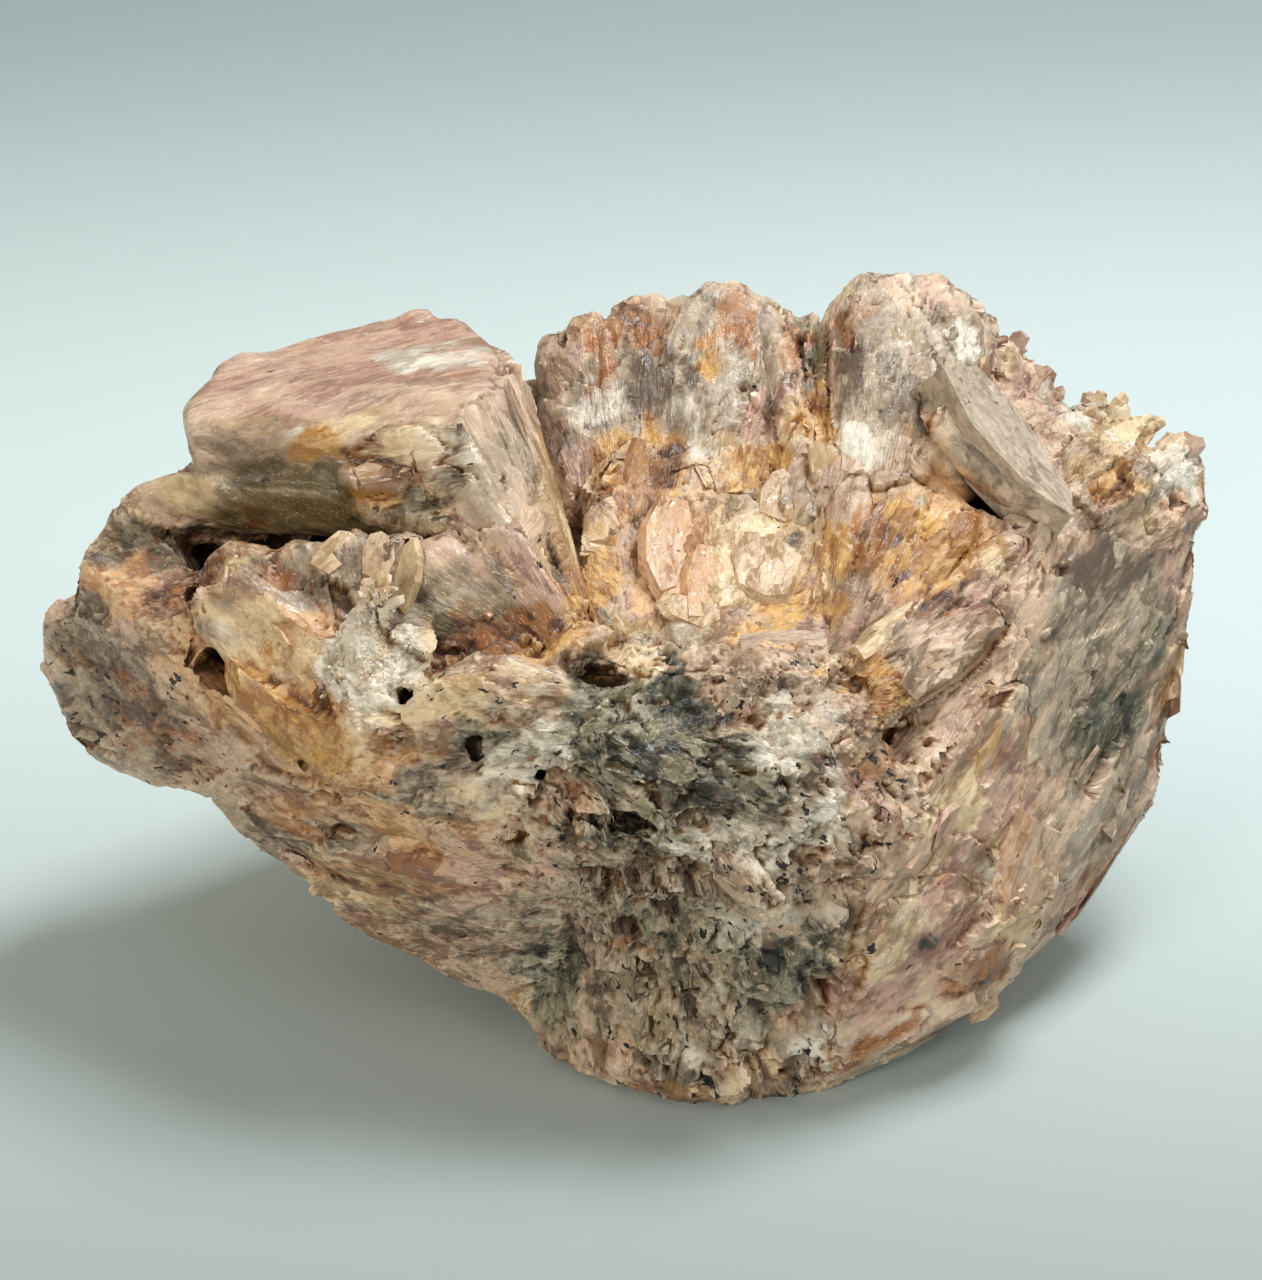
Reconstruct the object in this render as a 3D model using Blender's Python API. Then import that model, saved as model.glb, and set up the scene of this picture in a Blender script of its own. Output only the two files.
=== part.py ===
"""A cluster of bladed barite, 200 mm wide: one mass of crystals grown together.

Run it with blender --background --python part.py, or from Blender's text editor.

The frame is right-handed, +Z up, with X to the right and Y away from the side that shows the fan.
The origin is at the middle of the base. Points below are in millimetres, and the mesh is in metres.

The crystals grew up and out from one point low in the middle of the front, so the cluster is built
as they lie. First come chunky masses, each the convex hull of a few corners. Blades follow, each a
flat six-sided crystal from a root to a tip, and plates, which lie over each other on the masses and
point away from the growth point. Lumps and pits make the porous front. Last comes the flat face that
the cluster rests on.
"""

import math
import random

import bmesh
import bpy
from mathutils import Vector
from mathutils.bvhtree import BVHTree

MM = 0.001
CENTRE = Vector((0.5, -6.9, 0.0))  # the middle of the footprint, as the points below have it
GROWTH_POINT = Vector((12, -30, 4))
MOST_TRIANGLES = 9600
SEAT_BOX = (260.0, 260.0, 40.0)  # the block that cuts the base flat

BARITE_PINK = (0.62, 0.44, 0.37, 1.0)
BARITE_ROUGHNESS = 0.5

# Corners of the chunky masses.
MASSES = {
    "heart": [
        (-10, -42, -4), (2, -54, -4), (28, -54, -4), (46, -40, -4), (50, -5, -4),
        (42, 30, -4), (8, 42, -4), (-18, 30, -4), (-22, 0, -4),
        (-42, -24, 26), (-52, 8, 28), (-40, 34, 26), (8, 48, 26), (50, 38, 26), (74, 18, 30),
        (-62, -28, 54), (-72, 8, 58), (-36, 38, 64), (20, 48, 66), (62, 38, 62),
        (78, 10, 56), (66, -20, 52), (35, -37, 66), (0, -40, 66), (-30, -38, 66),
    ],
    "chin": [
        (-16, -44, -4), (-6, -54, -4), (9, -61, -4), (27, -59, -4), (36, -56, 4),
        (-14, -50, 26), (0, -58, 40), (20, -60, 42), (38, -54, 38), (10, -30, 0), (10, -30, 40),
    ],
    "chin_left": [
        (-14, -48, 0), (-4, -56, 0), (2, -60, 12), (0, -60, 34), (-10, -54, 36), (-18, -48, 30),
        (-22, -42, 8), (-6, -30, 4), (-6, -30, 36),
    ],
    "nose": [
        (27, -59, -2), (44, -54, 5), (62, -45, 9), (68, -36, 12), (63, -42, 26), (52, -48, 35),
        (40, -54, 38), (32, -57, 22), (50, -10, 2), (52, -10, 34),
    ],
    "nose_fold": [
        (30, -60, 4), (46, -55, 9), (60, -48, 16), (64, -43, 26), (54, -49, 33), (40, -57, 36),
        (34, -58, 20), (44, -40, 12), (50, -38, 30),
    ],
    "right_slope": [
        (72, -2, 74), (53, -26, 64), (41, -43, 50), (56, -43, 30), (68, -36, 14), (80, -24, 18),
        (92, -8, 27), (94, 0, 40), (98, 10, 58), (100, 18, 70), (92, 24, 77),
        (70, 20, 30), (50, 0, 50), (62, 22, 70),
    ],
    "right_foot": [
        (66, -38, 9), (70, -34, 11), (80, -24, 18), (92, -8, 26), (86, 4, 30), (70, 20, 22),
        (50, 20, -2), (52, -20, -2), (58, -38, 4),
    ],
    "right_shoulder": [
        (44, -46, 52), (58, -34, 58), (66, -26, 52), (62, -38, 36), (50, -46, 38), (40, -48, 44),
        (50, -20, 40), (50, -20, 60),
    ],
    "right_corner": [
        (84, 8, 74), (91, 14, 78), (98, 26, 77), (101, 22, 72), (100, 16, 64), (94, 30, 76),
        (86, 24, 60), (76, 4, 60), (78, 2, 70),
    ],
    "left_block": [
        (-72, -7, 97), (-73, 0, 96), (-69, 8, 98), (-60, 17, 99), (-50, 23, 100), (-38, 27, 101),
        (-28, 23, 102), (-22, 8, 102), (-24, -10, 102), (-33, -15, 98), (-53, -13, 96),
        (-71, -10, 90), (-54, -12, 86), (-34, -14, 84), (-66, 0, 84), (-20, 10, 66), (-60, 14, 66),
        (-30, 34, 64), (-52, 30, 66),
    ],
    "block_shoulder": [
        (-25, -12, 102), (-20, 4, 101), (-16, 6, 98), (-14, -12, 91), (-20, -26, 86), (-30, -20, 87),
        (-34, -16, 96), (-18, 0, 70), (-30, -10, 70),
    ],
    "grey_shelf": [
        (-82, -6, 84), (-86, -8, 79), (-74, -9, 89), (-60, -14, 88), (-40, -15, 88),
        (-35, -14, 80), (-50, -8, 76), (-66, -8, 76), (-80, -10, 79), (-60, 20, 70), (-82, 6, 78),
    ],
    "ridge": [
        (-27, 20, 101), (-20, 12, 100), (-14, -8, 92), (-7, -30, 80), (-4, -38, 72), (-8, -38, 70),
        (-22, -30, 81), (-28, -22, 87), (-16, 14, 66), (-12, -24, 62), (-24, -16, 70),
    ],
    "ridge_patch": [
        (-25, -26, 88), (-18, -26, 88), (-10, -34, 79), (-5, -39, 71), (-10, -39, 70),
        (-19, -34, 77), (-24, -30, 83), (-14, -26, 70),
    ],
    "left_nose": [
        (-94, -14, 70), (-92, -12, 74), (-87, -10, 78), (-78, -12, 79), (-70, -20, 76),
        (-74, -26, 69), (-84, -22, 67), (-91, -17, 66), (-70, 4, 60), (-80, 6, 76),
    ],
    "nose_plate": [
        (-85, -18, 71), (-76, -21, 75), (-70, -26, 74), (-68, -31, 68), (-71, -32, 65),
        (-80, -25, 67), (-70, -14, 60), (-60, -20, 66),
    ],
    "left_lobe": [
        (-96, -13, 65), (-99, -10, 60), (-100, -10, 48), (-95, -14, 39), (-84, -22, 37),
        (-71, -28, 38), (-58, -37, 44), (-58, -40, 56), (-68, -35, 64), (-80, -27, 68),
        (-90, -20, 68), (-84, 10, 44), (-60, 6, 32), (-60, 6, 64), (-84, 6, 66),
    ],
    "left_core": [
        (-64, -22, 50), (-64, -20, 68), (-52, -36, 50), (-50, -34, 66), (-22, -44, 50),
        (-24, -38, 65), (-6, -44, 52), (-8, -36, 64), (-30, -10, 73), (-60, -6, 73),
        (-12, -10, 68), (-60, 10, 50), (-10, 10, 50),
    ],
    "lobe_front": [
        (-74, -29, 54), (-66, -36, 62), (-54, -44, 56), (-46, -45, 47), (-58, -38, 42),
        (-72, -29, 41), (-50, -20, 50),
    ],
    "peach_slope": [
        (-73, -23, 74), (-66, -33, 66), (-60, -38, 62), (-48, -47, 55), (-34, -49, 58),
        (-36, -46, 68), (-50, -40, 71), (-62, -26, 77), (-68, -20, 78), (-40, -10, 50),
        (-50, -14, 74),
    ],
    "peach_bench": [
        (-62, -24, 77), (-46, -24, 80), (-34, -30, 79), (-30, -40, 74), (-34, -46, 70),
        (-48, -44, 68), (-58, -36, 70), (-40, -10, 60), (-20, -20, 60),
    ],
    "belt": [
        (-36, -47, 67), (-30, -47, 72), (-20, -47, 75), (-12, -46, 72), (-6, -44, 68),
        (-6, -52, 60), (-20, -51, 56), (-34, -50, 56), (-20, -20, 60), (-20, -24, 72),
    ],
    "front_bulge": [
        (-50, -44, 54), (-36, -50, 58), (-16, -53, 58), (-4, -56, 54), (-4, -58, 46),
        (-24, -49, 38), (-44, -42, 40), (-54, -40, 46), (-20, -20, 40),
    ],
    "flank": [
        (-71, -27, 38), (-62, -28, 27), (-52, -28, 20), (-44, -30, 18), (-38, -31, 12),
        (-27, -36, 5), (-12, -47, 4), (-8, -54, 22), (-12, -53, 38), (-34, -47, 44),
        (-56, -38, 44), (-30, 0, 6), (-50, 0, 40),
    ],
    "matrix": [
        (-12, -43, 69), (8, -44, 68), (24, -42, 68), (36, -40, 66), (46, -46, 50), (42, -53, 40),
        (22, -61, 43), (6, -60, 48), (-4, -57, 50), (-14, -52, 52), (10, -20, 50), (2, -55, 60),
        (26, -54, 58),
    ],
    "saddle": [
        (-8, -38, 71), (4, -42, 72), (14, -42, 71), (26, -40, 71), (36, -34, 69), (30, -20, 68),
        (-4, -20, 70), (8, -46, 66), (26, -44, 64), (10, -20, 56),
    ],
    "bowl_floor": [
        (-8, -32, 70), (8, -34, 71), (24, -32, 70), (34, -26, 69), (34, -6, 76), (24, 2, 77),
        (8, 2, 75), (-6, -4, 76), (-10, 10, 60), (34, 10, 60), (10, -20, 50),
    ],
    "back_wall": [
        (-14, 34, 86), (4, 38, 90), (22, 40, 94), (36, 40, 92), (40, 48, 70), (10, 51, 62),
        (-24, 44, 66), (-12, 8, 74), (14, 8, 74), (36, 6, 76), (56, 43, 60),
    ],
    "right_fan": [
        (37, 34, 97), (44, 34, 99), (54, 34, 97), (61, 36, 92), (55, 10, 88), (48, 4, 86),
        (37, 4, 84), (36, -4, 78), (54, -4, 78), (64, 16, 76), (60, 44, 66), (36, 44, 60),
    ],
    "fibrous_slope": [
        (33, -30, 69), (37, -2, 82), (46, -2, 82), (60, -6, 78), (70, -4, 75), (56, -24, 66),
        (42, -38, 60), (34, -37, 64), (40, 0, 50),
    ],
    "perched_crystal": [
        (48, 10, 96), (54, 12, 96), (62, 15, 92), (69, 13, 85), (71, 6, 81), (71, -3, 76),
        (63, -5, 81), (55, -3, 87), (49, 3, 92), (54, 4, 84), (63, 1, 77), (69, 3, 73),
        (60, 18, 84), (68, 16, 77),
    ],
    "left_back": [
        (-80, 6, 50), (-84, 4, 64), (-79, 8, 78), (-68, 14, 86), (-46, 28, 86), (-36, 32, 66),
        (-58, 24, 50), (-62, 0, 50), (-50, 4, 80),
    ],
    "right_back": [
        (94, 4, 46), (96, 16, 60), (92, 30, 68), (72, 42, 64), (56, 38, 40), (86, 2, 32),
        (62, 12, 24), (84, 24, 44), (50, 20, 56),
    ],
    "right_crest": [
        (60, 38, 86), (68, 38, 82), (72, 38, 76), (84, 34, 74), (92, 28, 74), (78, 10, 74),
        (70, 12, 76), (58, 20, 84), (70, 46, 56), (88, 34, 52), (90, 10, 54), (60, 20, 50),
    ],
}

FRONT = (0.0, -0.8, 0.6)
UPWARD = (0.0, -0.4, 0.9)

# Single blades: root, tip, the way the flat face looks, width, thickness.
BLADES = {
    "fan_grey_edge": ((-10, 6, 74), (-14, 38, 92), (0.5, -0.8, 0.3), 9, 5),
    "fan_pink": ((-7, 4, 73), (-8, 40, 94), FRONT, 13, 6),
    "fan_red_peak": ((-1, 4, 73), (2, 42, 97), FRONT, 15, 6),
    "fan_rose": ((5, 4, 73), (11, 41, 96), FRONT, 16, 7),
    "fan_high_peak": ((11, 4, 73), (18, 44, 99), FRONT, 18, 8),
    "fan_fin": ((30, -4, 74), (23, 42, 97), (-0.95, -0.3, 0.1), 12, 5),
    "fan_left_spike": ((30, 4, 74), (27, 43, 95), FRONT, 7, 6),
    "fan_right_spike": ((33, 4, 76), (31, 43, 94), FRONT, 7, 6),
    "grey_step_left": ((2, -8, 68), (-4, 30, 88), FRONT, 15, 6),
    "grey_step_middle": ((8, -8, 68), (9, 31, 87), FRONT, 17, 6),
    "grey_step_right": ((17, -8, 69), (19, 30, 87), FRONT, 16, 6),
    "peach_sheet_left": ((4, -36, 67), (9, 8, 79), (-0.5, -0.5, 0.7), 16, 5),
    "peach_sheet_right": ((14, -38, 68), (14, 2, 78), (0.2, -0.5, 0.85), 24, 5),
    "orange_sheet": ((-5, -36, 68), (0, 10, 80), (0.6, -0.4, 0.7), 15, 5),
    "cream_triangle": ((27, -4, 76), (26, 6, 81), FRONT, 9, 3),
    "cream_curl": ((37, -10, 75), (32, 6, 85), (-0.2, -0.8, 0.6), 8, 4),
    "right_fan_rim": ((35, 2, 78), (37, 40, 98), (-0.3, -0.8, 0.5), 9, 6),
    "right_fan_left": ((38, 0, 82), (41, 41, 101), FRONT, 9, 6),
    "right_fan_top": ((42, 0, 82), (46, 41, 101), FRONT, 14, 7),
    "right_fan_middle": ((46, 0, 82), (52, 41, 101), FRONT, 12, 6),
    "right_fan_low": ((50, 2, 83), (57, 40, 99), (0.3, -0.7, 0.6), 11, 6),
    "right_fan_end": ((54, 6, 82), (62, 40, 95), (0.5, -0.7, 0.5), 10, 6),
    "fibre_a": ((31, -32, 66), (38, 0, 83), UPWARD, 9, 5),
    "fibre_b": ((33, -34, 66), (47, -2, 83), UPWARD, 9, 5),
    "fibre_c": ((35, -35, 65), (57, -4, 80), UPWARD, 9, 6),
    "fibre_d": ((37, -37, 64), (64, -8, 76), UPWARD, 9, 6),
    "fibre_e": ((38, -39, 62), (60, -20, 69), UPWARD, 9, 6),
    "fibre_f": ((36, -40, 62), (54, -27, 66), (0.4, -0.6, 0.7), 8, 5),
    "gold_lip": ((70, 0, 73), (90, 14, 79), (0.3, -0.6, 0.7), 10, 5),
    "clear_facet": ((72, 10, 72), (84, 26, 79), (-0.1, -0.6, 0.8), 14, 5),
    "scallop_a": ((-58, -30, 68), (-67, -17, 80), (-0.3, -0.7, 0.6), 15, 5),
    "scallop_b": ((-49, -32, 70), (-57, -20, 81), (-0.1, -0.8, 0.6), 18, 5),
    "scallop_c": ((-43, -33, 71), (-47, -21, 84), (0.1, -0.8, 0.5), 16, 6),
    "scallop_d": ((-36, -34, 72), (-38, -22, 84), (-0.1, -0.8, 0.5), 15, 6),
    "scallop_e": ((-28, -34, 70), (-31, -24, 85), (0.2, -0.8, 0.5), 12, 6),
    "shell": ((-8, -37, 68), (-33, -28, 81), (-0.35, -0.6, 0.7), 16, 4),
    "shell_lip": ((-18, -30, 74), (-36, -26, 82), (-0.5, -0.6, 0.6), 8, 4),
    "druse_spike": ((-44, -40, 68), (-39, -35, 84), FRONT, 6, 5),
    "druse_wall": ((-38, -47, 62), (-44, -36, 79), (-0.6, -0.7, 0.4), 9, 7),
    "druse_low": ((-40, -48, 58), (-48, -42, 72), (-0.4, -0.8, 0.4), 8, 7),
    "peach_blade_a": ((-46, -46, 60), (-72, -23, 76), (-0.3, -0.6, 0.75), 12, 5),
    "peach_blade_b": ((-40, -44, 66), (-66, -23, 79), (-0.2, -0.6, 0.8), 10, 5),
    "peach_blade_c": ((-42, -49, 54), (-66, -35, 68), (-0.5, -0.75, 0.4), 10, 5),
    "peach_blade_d": ((-34, -50, 54), (-56, -42, 64), (-0.5, -0.8, 0.3), 10, 5),
    "nose_blade_a": ((-70, -28, 66), (-86, -18, 73), (-0.4, -0.6, 0.7), 9, 5),
    "nose_blade_b": ((-72, -20, 72), (-92, -13, 74), (-0.3, -0.5, 0.8), 9, 5),
    "shelf_step": ((-60, -2, 74), (-86, -8, 80), (-0.2, -0.8, 0.6), 9, 7),
    "block_ledge": ((-26, -14, 88), (-48, -15, 91), (0.0, -0.9, 0.4), 7, 6),
    "block_band": ((-24, -20, 84), (-46, -14, 85), (0.0, -0.8, 0.5), 7, 8),
    "block_bump": ((-36, 18, 94), (-36, 27, 103), (0.2, -0.7, 0.6), 8, 4),
    "waist_a": ((34, -50, 42), (-8, -57, 46), (0.0, -1.0, 0.3), 8, 7),
    "waist_b": ((38, -50, 38), (-2, -60, 42), (0.0, -1.0, 0.1), 6, 8),
    "waist_c": ((4, -56, 44), (-32, -48, 46), (-0.2, -1.0, 0.2), 9, 6),
    "waist_d": ((0, -56, 38), (-40, -44, 40), (-0.2, -1.0, 0.1), 9, 6),
    "flank_a": ((-6, -52, 28), (-44, -36, 26), (-0.4, -0.9, -0.1), 9, 6),
    "flank_b": ((-30, -44, 44), (-64, -32, 38), (-0.4, -0.9, 0.0), 12, 6),
    "flank_c": ((-20, -44, 30), (-58, -30, 28), (-0.5, -0.8, -0.2), 12, 6),
    "flank_d": ((-10, -48, 14), (-34, -36, 14), (-0.5, -0.8, -0.2), 9, 6),
    "nose_ridge": ((38, -54, 22), (66, -42, 15), (0.3, -0.9, 0.3), 9, 5),
    "nose_top": ((40, -50, 34), (66, -40, 24), (0.4, -0.6, 0.7), 10, 6),
    "nose_low": ((30, -58, 6), (60, -46, 8), (0.4, -0.9, 0.0), 8, 5),
    "nose_tip_plate": ((52, -36, 14), (66, -42, 22), (0.7, -0.6, 0.3), 9, 5),
    "lobe_plate": ((-60, -30, 56), (-98, -12, 60), (-0.6, -0.7, 0.3), 12, 5),
    "lobe_keel": ((-50, -34, 42), (-96, -14, 42), (-0.4, -0.8, -0.3), 9, 6),
}

# Small crystals that stand along the right crest, and flakes that show along the right edge: tips.
CREST_TIPS = [
    (61, 41, 93), (65, 42, 90), (67, 42, 89), (70, 42, 86), (73, 42, 84), (75, 40, 80),
    (78, 40, 78), (81, 38, 77), (84, 40, 79), (88, 38, 79), (91, 34, 77), (93, 34, 78),
    (98, 28, 78), (101, 24, 74),
]
CREST_HEART = Vector((66, 16, 58))  # the point that they all grow from
CREST_SHOWN = 0.45  # the share of each, from its tip, that is modelled
CREST_WIDTHS = (5.5, 7.0, 8.5)
CREST_THICKNESS = 4.0
EDGE_TIPS = [(101, 19, 69), (98, 10, 57), (97, 6, 49), (96, 2, 43), (94, -3, 35)]
EDGE_RUN = Vector((13, 18, 11))  # the way the flakes of the right face run
EDGE_INSET = Vector((1.0, 0, 0))
EDGE_FACE = (0.8, -0.5, 0.1)
EDGE_WIDTHS = (11.0, 14.0)
EDGE_THICKNESS = 3.0

# Pits in the porous front: the middle, then width, height and depth.
PITS = [
    ((-2, -57, 52), (15, 4, 14)), ((10, -60, 52), (9, 4, 12)), ((-24, -49, 61), (5, 5, 9)),
    ((19, -58, 62), (5, 4, 9)), ((14, -60, 49), (6, 4, 8)), ((11, -55, 61), (5, 4, 8)),
    ((2, -52, 64), (8, 3, 8)), ((26, -57, 54), (5, 3, 7)), ((-1, -61, 33), (7, 8, 12)),
    ((9, -62, 34), (4, 7, 9)), ((-11, -54, 22), (4, 7, 8)), ((24, -62, 29), (8, 4, 8)),
    ((8, -62, 12), (3, 7, 8)), ((46, -56, 25), (3, 4, 7)), ((-16, -52, 45), (5, 3, 7)),
    ((17, -62, 22), (6, 3, 7)),
]
PIT_CORNERS = 7
PIT_REACHES = (0.3, 0.65)  # how far the corners of a pit's rim lie out, as shares of its size
PIT_TURN = 0.4  # how far a corner is turned along the rim, as a share of the way to the next
PIT_SLANT = 0.3  # how far a corner lies in front or behind, as a share of the pit's depth
PIT_LEAN = 0.15  # how far the pit's ends lie off to the sides, as a share of its width
PIT_SEED = 3

# Plates that lie over each other, in rows round the cluster. A row has its height, the arc that it
# covers in degrees from +X, and for each plate the mean length, width and thickness. The plates of
# the right face all run one way, and the others away from the growth point.
RIGHT_ROWS = [
    (62, (-40, -8), 4, (30, 12, 3.0)),
    (52, (-58, -4), 5, (30, 13, 3.0)),
    (41, (-62, 4), 5, (30, 13, 3.0)),
    (30, (-58, 6), 5, (28, 13, 3.0)),
    (19, (-52, 10), 4, (24, 13, 3.5)),
]
OTHER_ROWS = [
    (14, (18, 165), 6, (36, 24, 7.0)),
    (30, (12, 172), 9, (40, 24, 7.0)),
    (47, (16, 172), 10, (40, 22, 7.0)),
    (62, (20, 168), 9, (36, 20, 6.0)),
    (76, (30, 150), 6, (30, 18, 5.0)),
    (88, (132, 172), 4, (24, 17, 5.0)),
    (54, (176, 190), 2, (26, 16, 5.0)),
    (20, (205, 236), 3, (24, 14, 4.0)),
    (34, (205, 244), 4, (26, 14, 4.0)),
]
PLATE_SEED = 11
PLATE_AHEAD = 0.35  # the share of a plate that lies beyond the place that it is laid on
PLATE_RISES = (-0.35, 0.1)  # how far a plate's tip lies off the surface, as shares of its thickness
PLATE_ROOT_DEPTH = 0.5  # how deep its root is sunk, as a share of its thickness
PLATE_LENGTHS = (0.8, 1.2)  # a plate's length, as shares of its row's mean
PLATE_WIDTHS = (0.75, 1.3)
PLATE_DRIFT = 4.0  # how far up or down a plate lies from its row's height
AXIS = (8.0, -2.0)  # the rows are laid round this upright line

# Lumps on the porous front: rows of height, from and to along X, count.
LUMP_ROWS = [
    (6, (-2, 30), 4), (15, (-10, 32), 5), (24, (-12, 34), 5), (33, (-16, 34), 5),
    (42, (-18, 38), 6), (51, (-20, 40), 6), (60, (-16, 36), 5), (68, (-10, 30), 4),
]
LUMP_SIZE = (8.0, 14.0)
LUMP_CORNERS = 9
LUMP_DEPTH = 0.15  # how far a lump's middle lies under the surface, as a share of its size
LUMP_SEED = 5
FAR = 300.0  # where the lines that find the surface start from


def new_solid(name, points, collection):
    """A closed convex mesh around the points, which are in millimetres."""
    mesh = bpy.data.meshes.new(name)
    shape = bmesh.new()
    for point in points:
        shape.verts.new((Vector(point) - CENTRE) * MM)
    hull = bmesh.ops.convex_hull(shape, input=shape.verts)
    inside = {item for item in hull["geom_interior"] if isinstance(item, bmesh.types.BMVert)}
    bmesh.ops.delete(shape, geom=list(inside), context="VERTS")
    bmesh.ops.recalc_face_normals(shape, faces=shape.faces)
    shape.to_mesh(mesh)
    shape.free()
    solid = bpy.data.objects.new(name, mesh)
    solid.hide_render = True
    solid.display_type = "WIRE"
    collection.objects.link(solid)
    return solid


def blade_points(root, tip, face, width, thickness, layers=((0.0, 0.0), (0.5, 0.3), (-0.5, 0.3))):
    """Corners of one flat crystal. A layer is its rise and its inset, both as shares of thickness."""
    root = Vector(root)
    along = Vector(tip) - root
    length = along.length
    along.normalize()
    across = along.cross(Vector(face)).normalized()
    out = across.cross(along).normalized()
    half = width / 2
    chance = random.Random(round(length * 1000))
    outline = [
        (reach, side * chance.uniform(0.75, 1.1))
        for reach, side in ((0.0, 0.7), (0.0, -0.7), (0.75, 1.0), (0.8, -1.0), (1.0, 0.45), (0.97, -0.45))
    ]
    points = []
    for rise, inset in layers:
        for share, side in outline:
            reach = share * length - inset * thickness * (share > 0.9)
            spread = side * (half - inset * thickness)
            points.append(root + along * reach + across * spread + out * (rise * thickness))
    return points


def plate_points(root, tip, face, width, thickness):
    """Corners of one plate, which shows only its outer face."""
    return blade_points(root, tip, face, width, thickness, ((-0.6, 0.0), (0.1, 0.0), (0.5, 0.35)))


def lump_points(middle, size, chance):
    """Corners of a lump, at chance directions from its middle."""
    points = []
    for _ in range(LUMP_CORNERS):
        away = Vector([chance.uniform(-1, 1) for _ in range(3)])
        points.append(Vector(middle) + away.normalized() * size * chance.uniform(0.4, 0.6))
    return points


def pit_points(middle, size, chance):
    """Corners of a pit cutter: an uneven lens that looks towards the front."""
    width, height, depth = size
    middle = Vector(middle)
    points = []
    for step in range(PIT_CORNERS):
        turn = math.tau * (step + chance.uniform(-PIT_TURN, PIT_TURN)) / PIT_CORNERS
        reach = chance.uniform(*PIT_REACHES)
        aside = math.cos(turn) * width * reach
        ahead = chance.uniform(-PIT_SLANT, PIT_SLANT) * depth
        points.append(middle + Vector((aside, ahead, math.sin(turn) * height * reach)))
    nose = Vector((width * PIT_LEAN, depth / 2, 0))
    return points + [middle + nose, middle - nose]


def crest_blades():
    """The small crystals along the right crest and the flakes along the right edge."""
    blades = []
    for step, tip in enumerate(CREST_TIPS):
        root = Vector(tip).lerp(CREST_HEART, CREST_SHOWN)
        face = (math.sin(2.4 * step) / 2, -0.9, 0.4)
        width = CREST_WIDTHS[step % len(CREST_WIDTHS)]
        blades.append((root, tip, face, width, CREST_THICKNESS))
    for step, tip in enumerate(EDGE_TIPS):
        tip = Vector(tip) - EDGE_INSET
        width = EDGE_WIDTHS[step % len(EDGE_WIDTHS)]
        blades.append((tip - EDGE_RUN, tip, EDGE_FACE, width, EDGE_THICKNESS))
    return blades


def surface_of(solids):
    """A tree of the faces of all the solids, in millimetres, to find where a line meets them."""
    corners = []
    faces = []
    for solid in solids:
        first = len(corners)
        corners += [vertex.co / MM + CENTRE for vertex in solid.data.vertices]
        faces += [[first + corner for corner in face.vertices] for face in solid.data.polygons]
    return BVHTree.FromPolygons(corners, faces)


def plates(surface):
    """Plates that lie on the surface, overlapping."""
    chance = random.Random(PLATE_SEED)
    found = []
    for right, rows in ((True, RIGHT_ROWS), (False, OTHER_ROWS)):
        for height, arc, count, (length, width, thickness) in rows:
            for step in range(count):
                share = (step + chance.uniform(0.2, 0.8)) / count
                turn = math.radians(arc[0] + (arc[1] - arc[0]) * share)
                out = Vector((math.cos(turn), math.sin(turn), 0))
                start = Vector((*AXIS, height + chance.uniform(-PLATE_DRIFT, PLATE_DRIFT))) + out * FAR
                place, normal, _, _ = surface.ray_cast(start, -out)
                if place is None:
                    continue
                along = EDGE_RUN.copy() if right else place - GROWTH_POINT
                along = (along - normal * along.dot(normal)).normalized()
                reach = length * chance.uniform(*PLATE_LENGTHS)
                rise = normal * thickness * chance.uniform(*PLATE_RISES)
                tip = place + along * reach * PLATE_AHEAD + rise
                root = tip - along * reach
                below, _, _, _ = surface.ray_cast(root + out * FAR, -out)
                if below is not None and (root - below).dot(out) > 0:
                    root = below
                root -= normal * thickness * PLATE_ROOT_DEPTH
                found.append((root, tip, normal, width * chance.uniform(*PLATE_WIDTHS), thickness))
    return found


def lumps(surface):
    """Lumps on the porous front."""
    chance = random.Random(LUMP_SEED)
    found = []
    for height, (left, right), count in LUMP_ROWS:
        for step in range(count):
            x = left + (right - left) * (step + chance.uniform(0.1, 0.9)) / count
            start = Vector((x, -FAR, height + chance.uniform(-3, 3)))
            place, normal, _, _ = surface.ray_cast(start, Vector((0, 1, 0)))
            size = chance.uniform(*LUMP_SIZE)
            found.append(lump_points(place - normal * size * LUMP_DEPTH, size, chance))
    return found


def seat_corners():
    """Corners of the block whose top is the ground."""
    length, depth, height = SEAT_BOX
    return [
        (x * length, y * depth, z)
        for x in (-0.5, 0.5)
        for y in (-0.5, 0.5)
        for z in (-height, 0.0)
    ]


def new_collection(name):
    """A collection of helper shapes, which aren't part of the cluster themselves."""
    collection = bpy.data.collections.new(name)
    bpy.context.scene.collection.children.link(collection)
    return collection


def barite_material():
    """The pink of barite, half matt."""
    material = bpy.data.materials.new("barite")
    material.use_nodes = True
    surface = material.node_tree.nodes["Principled BSDF"]
    surface.inputs["Base Color"].default_value = BARITE_PINK
    surface.inputs["Roughness"].default_value = BARITE_ROUGHNESS
    surface.inputs["Metallic"].default_value = 0.0
    return material


def clear_scene():
    """Removes every object that the scene starts with."""
    for old in list(bpy.data.objects):
        bpy.data.objects.remove(old)


def boolean(solid, name, operation, collection):
    """Joins or cuts solid with every shape in the collection."""
    step = solid.modifiers.new(name, "BOOLEAN")
    step.operation = operation
    step.operand_type = "COLLECTION"
    step.collection = collection


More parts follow.
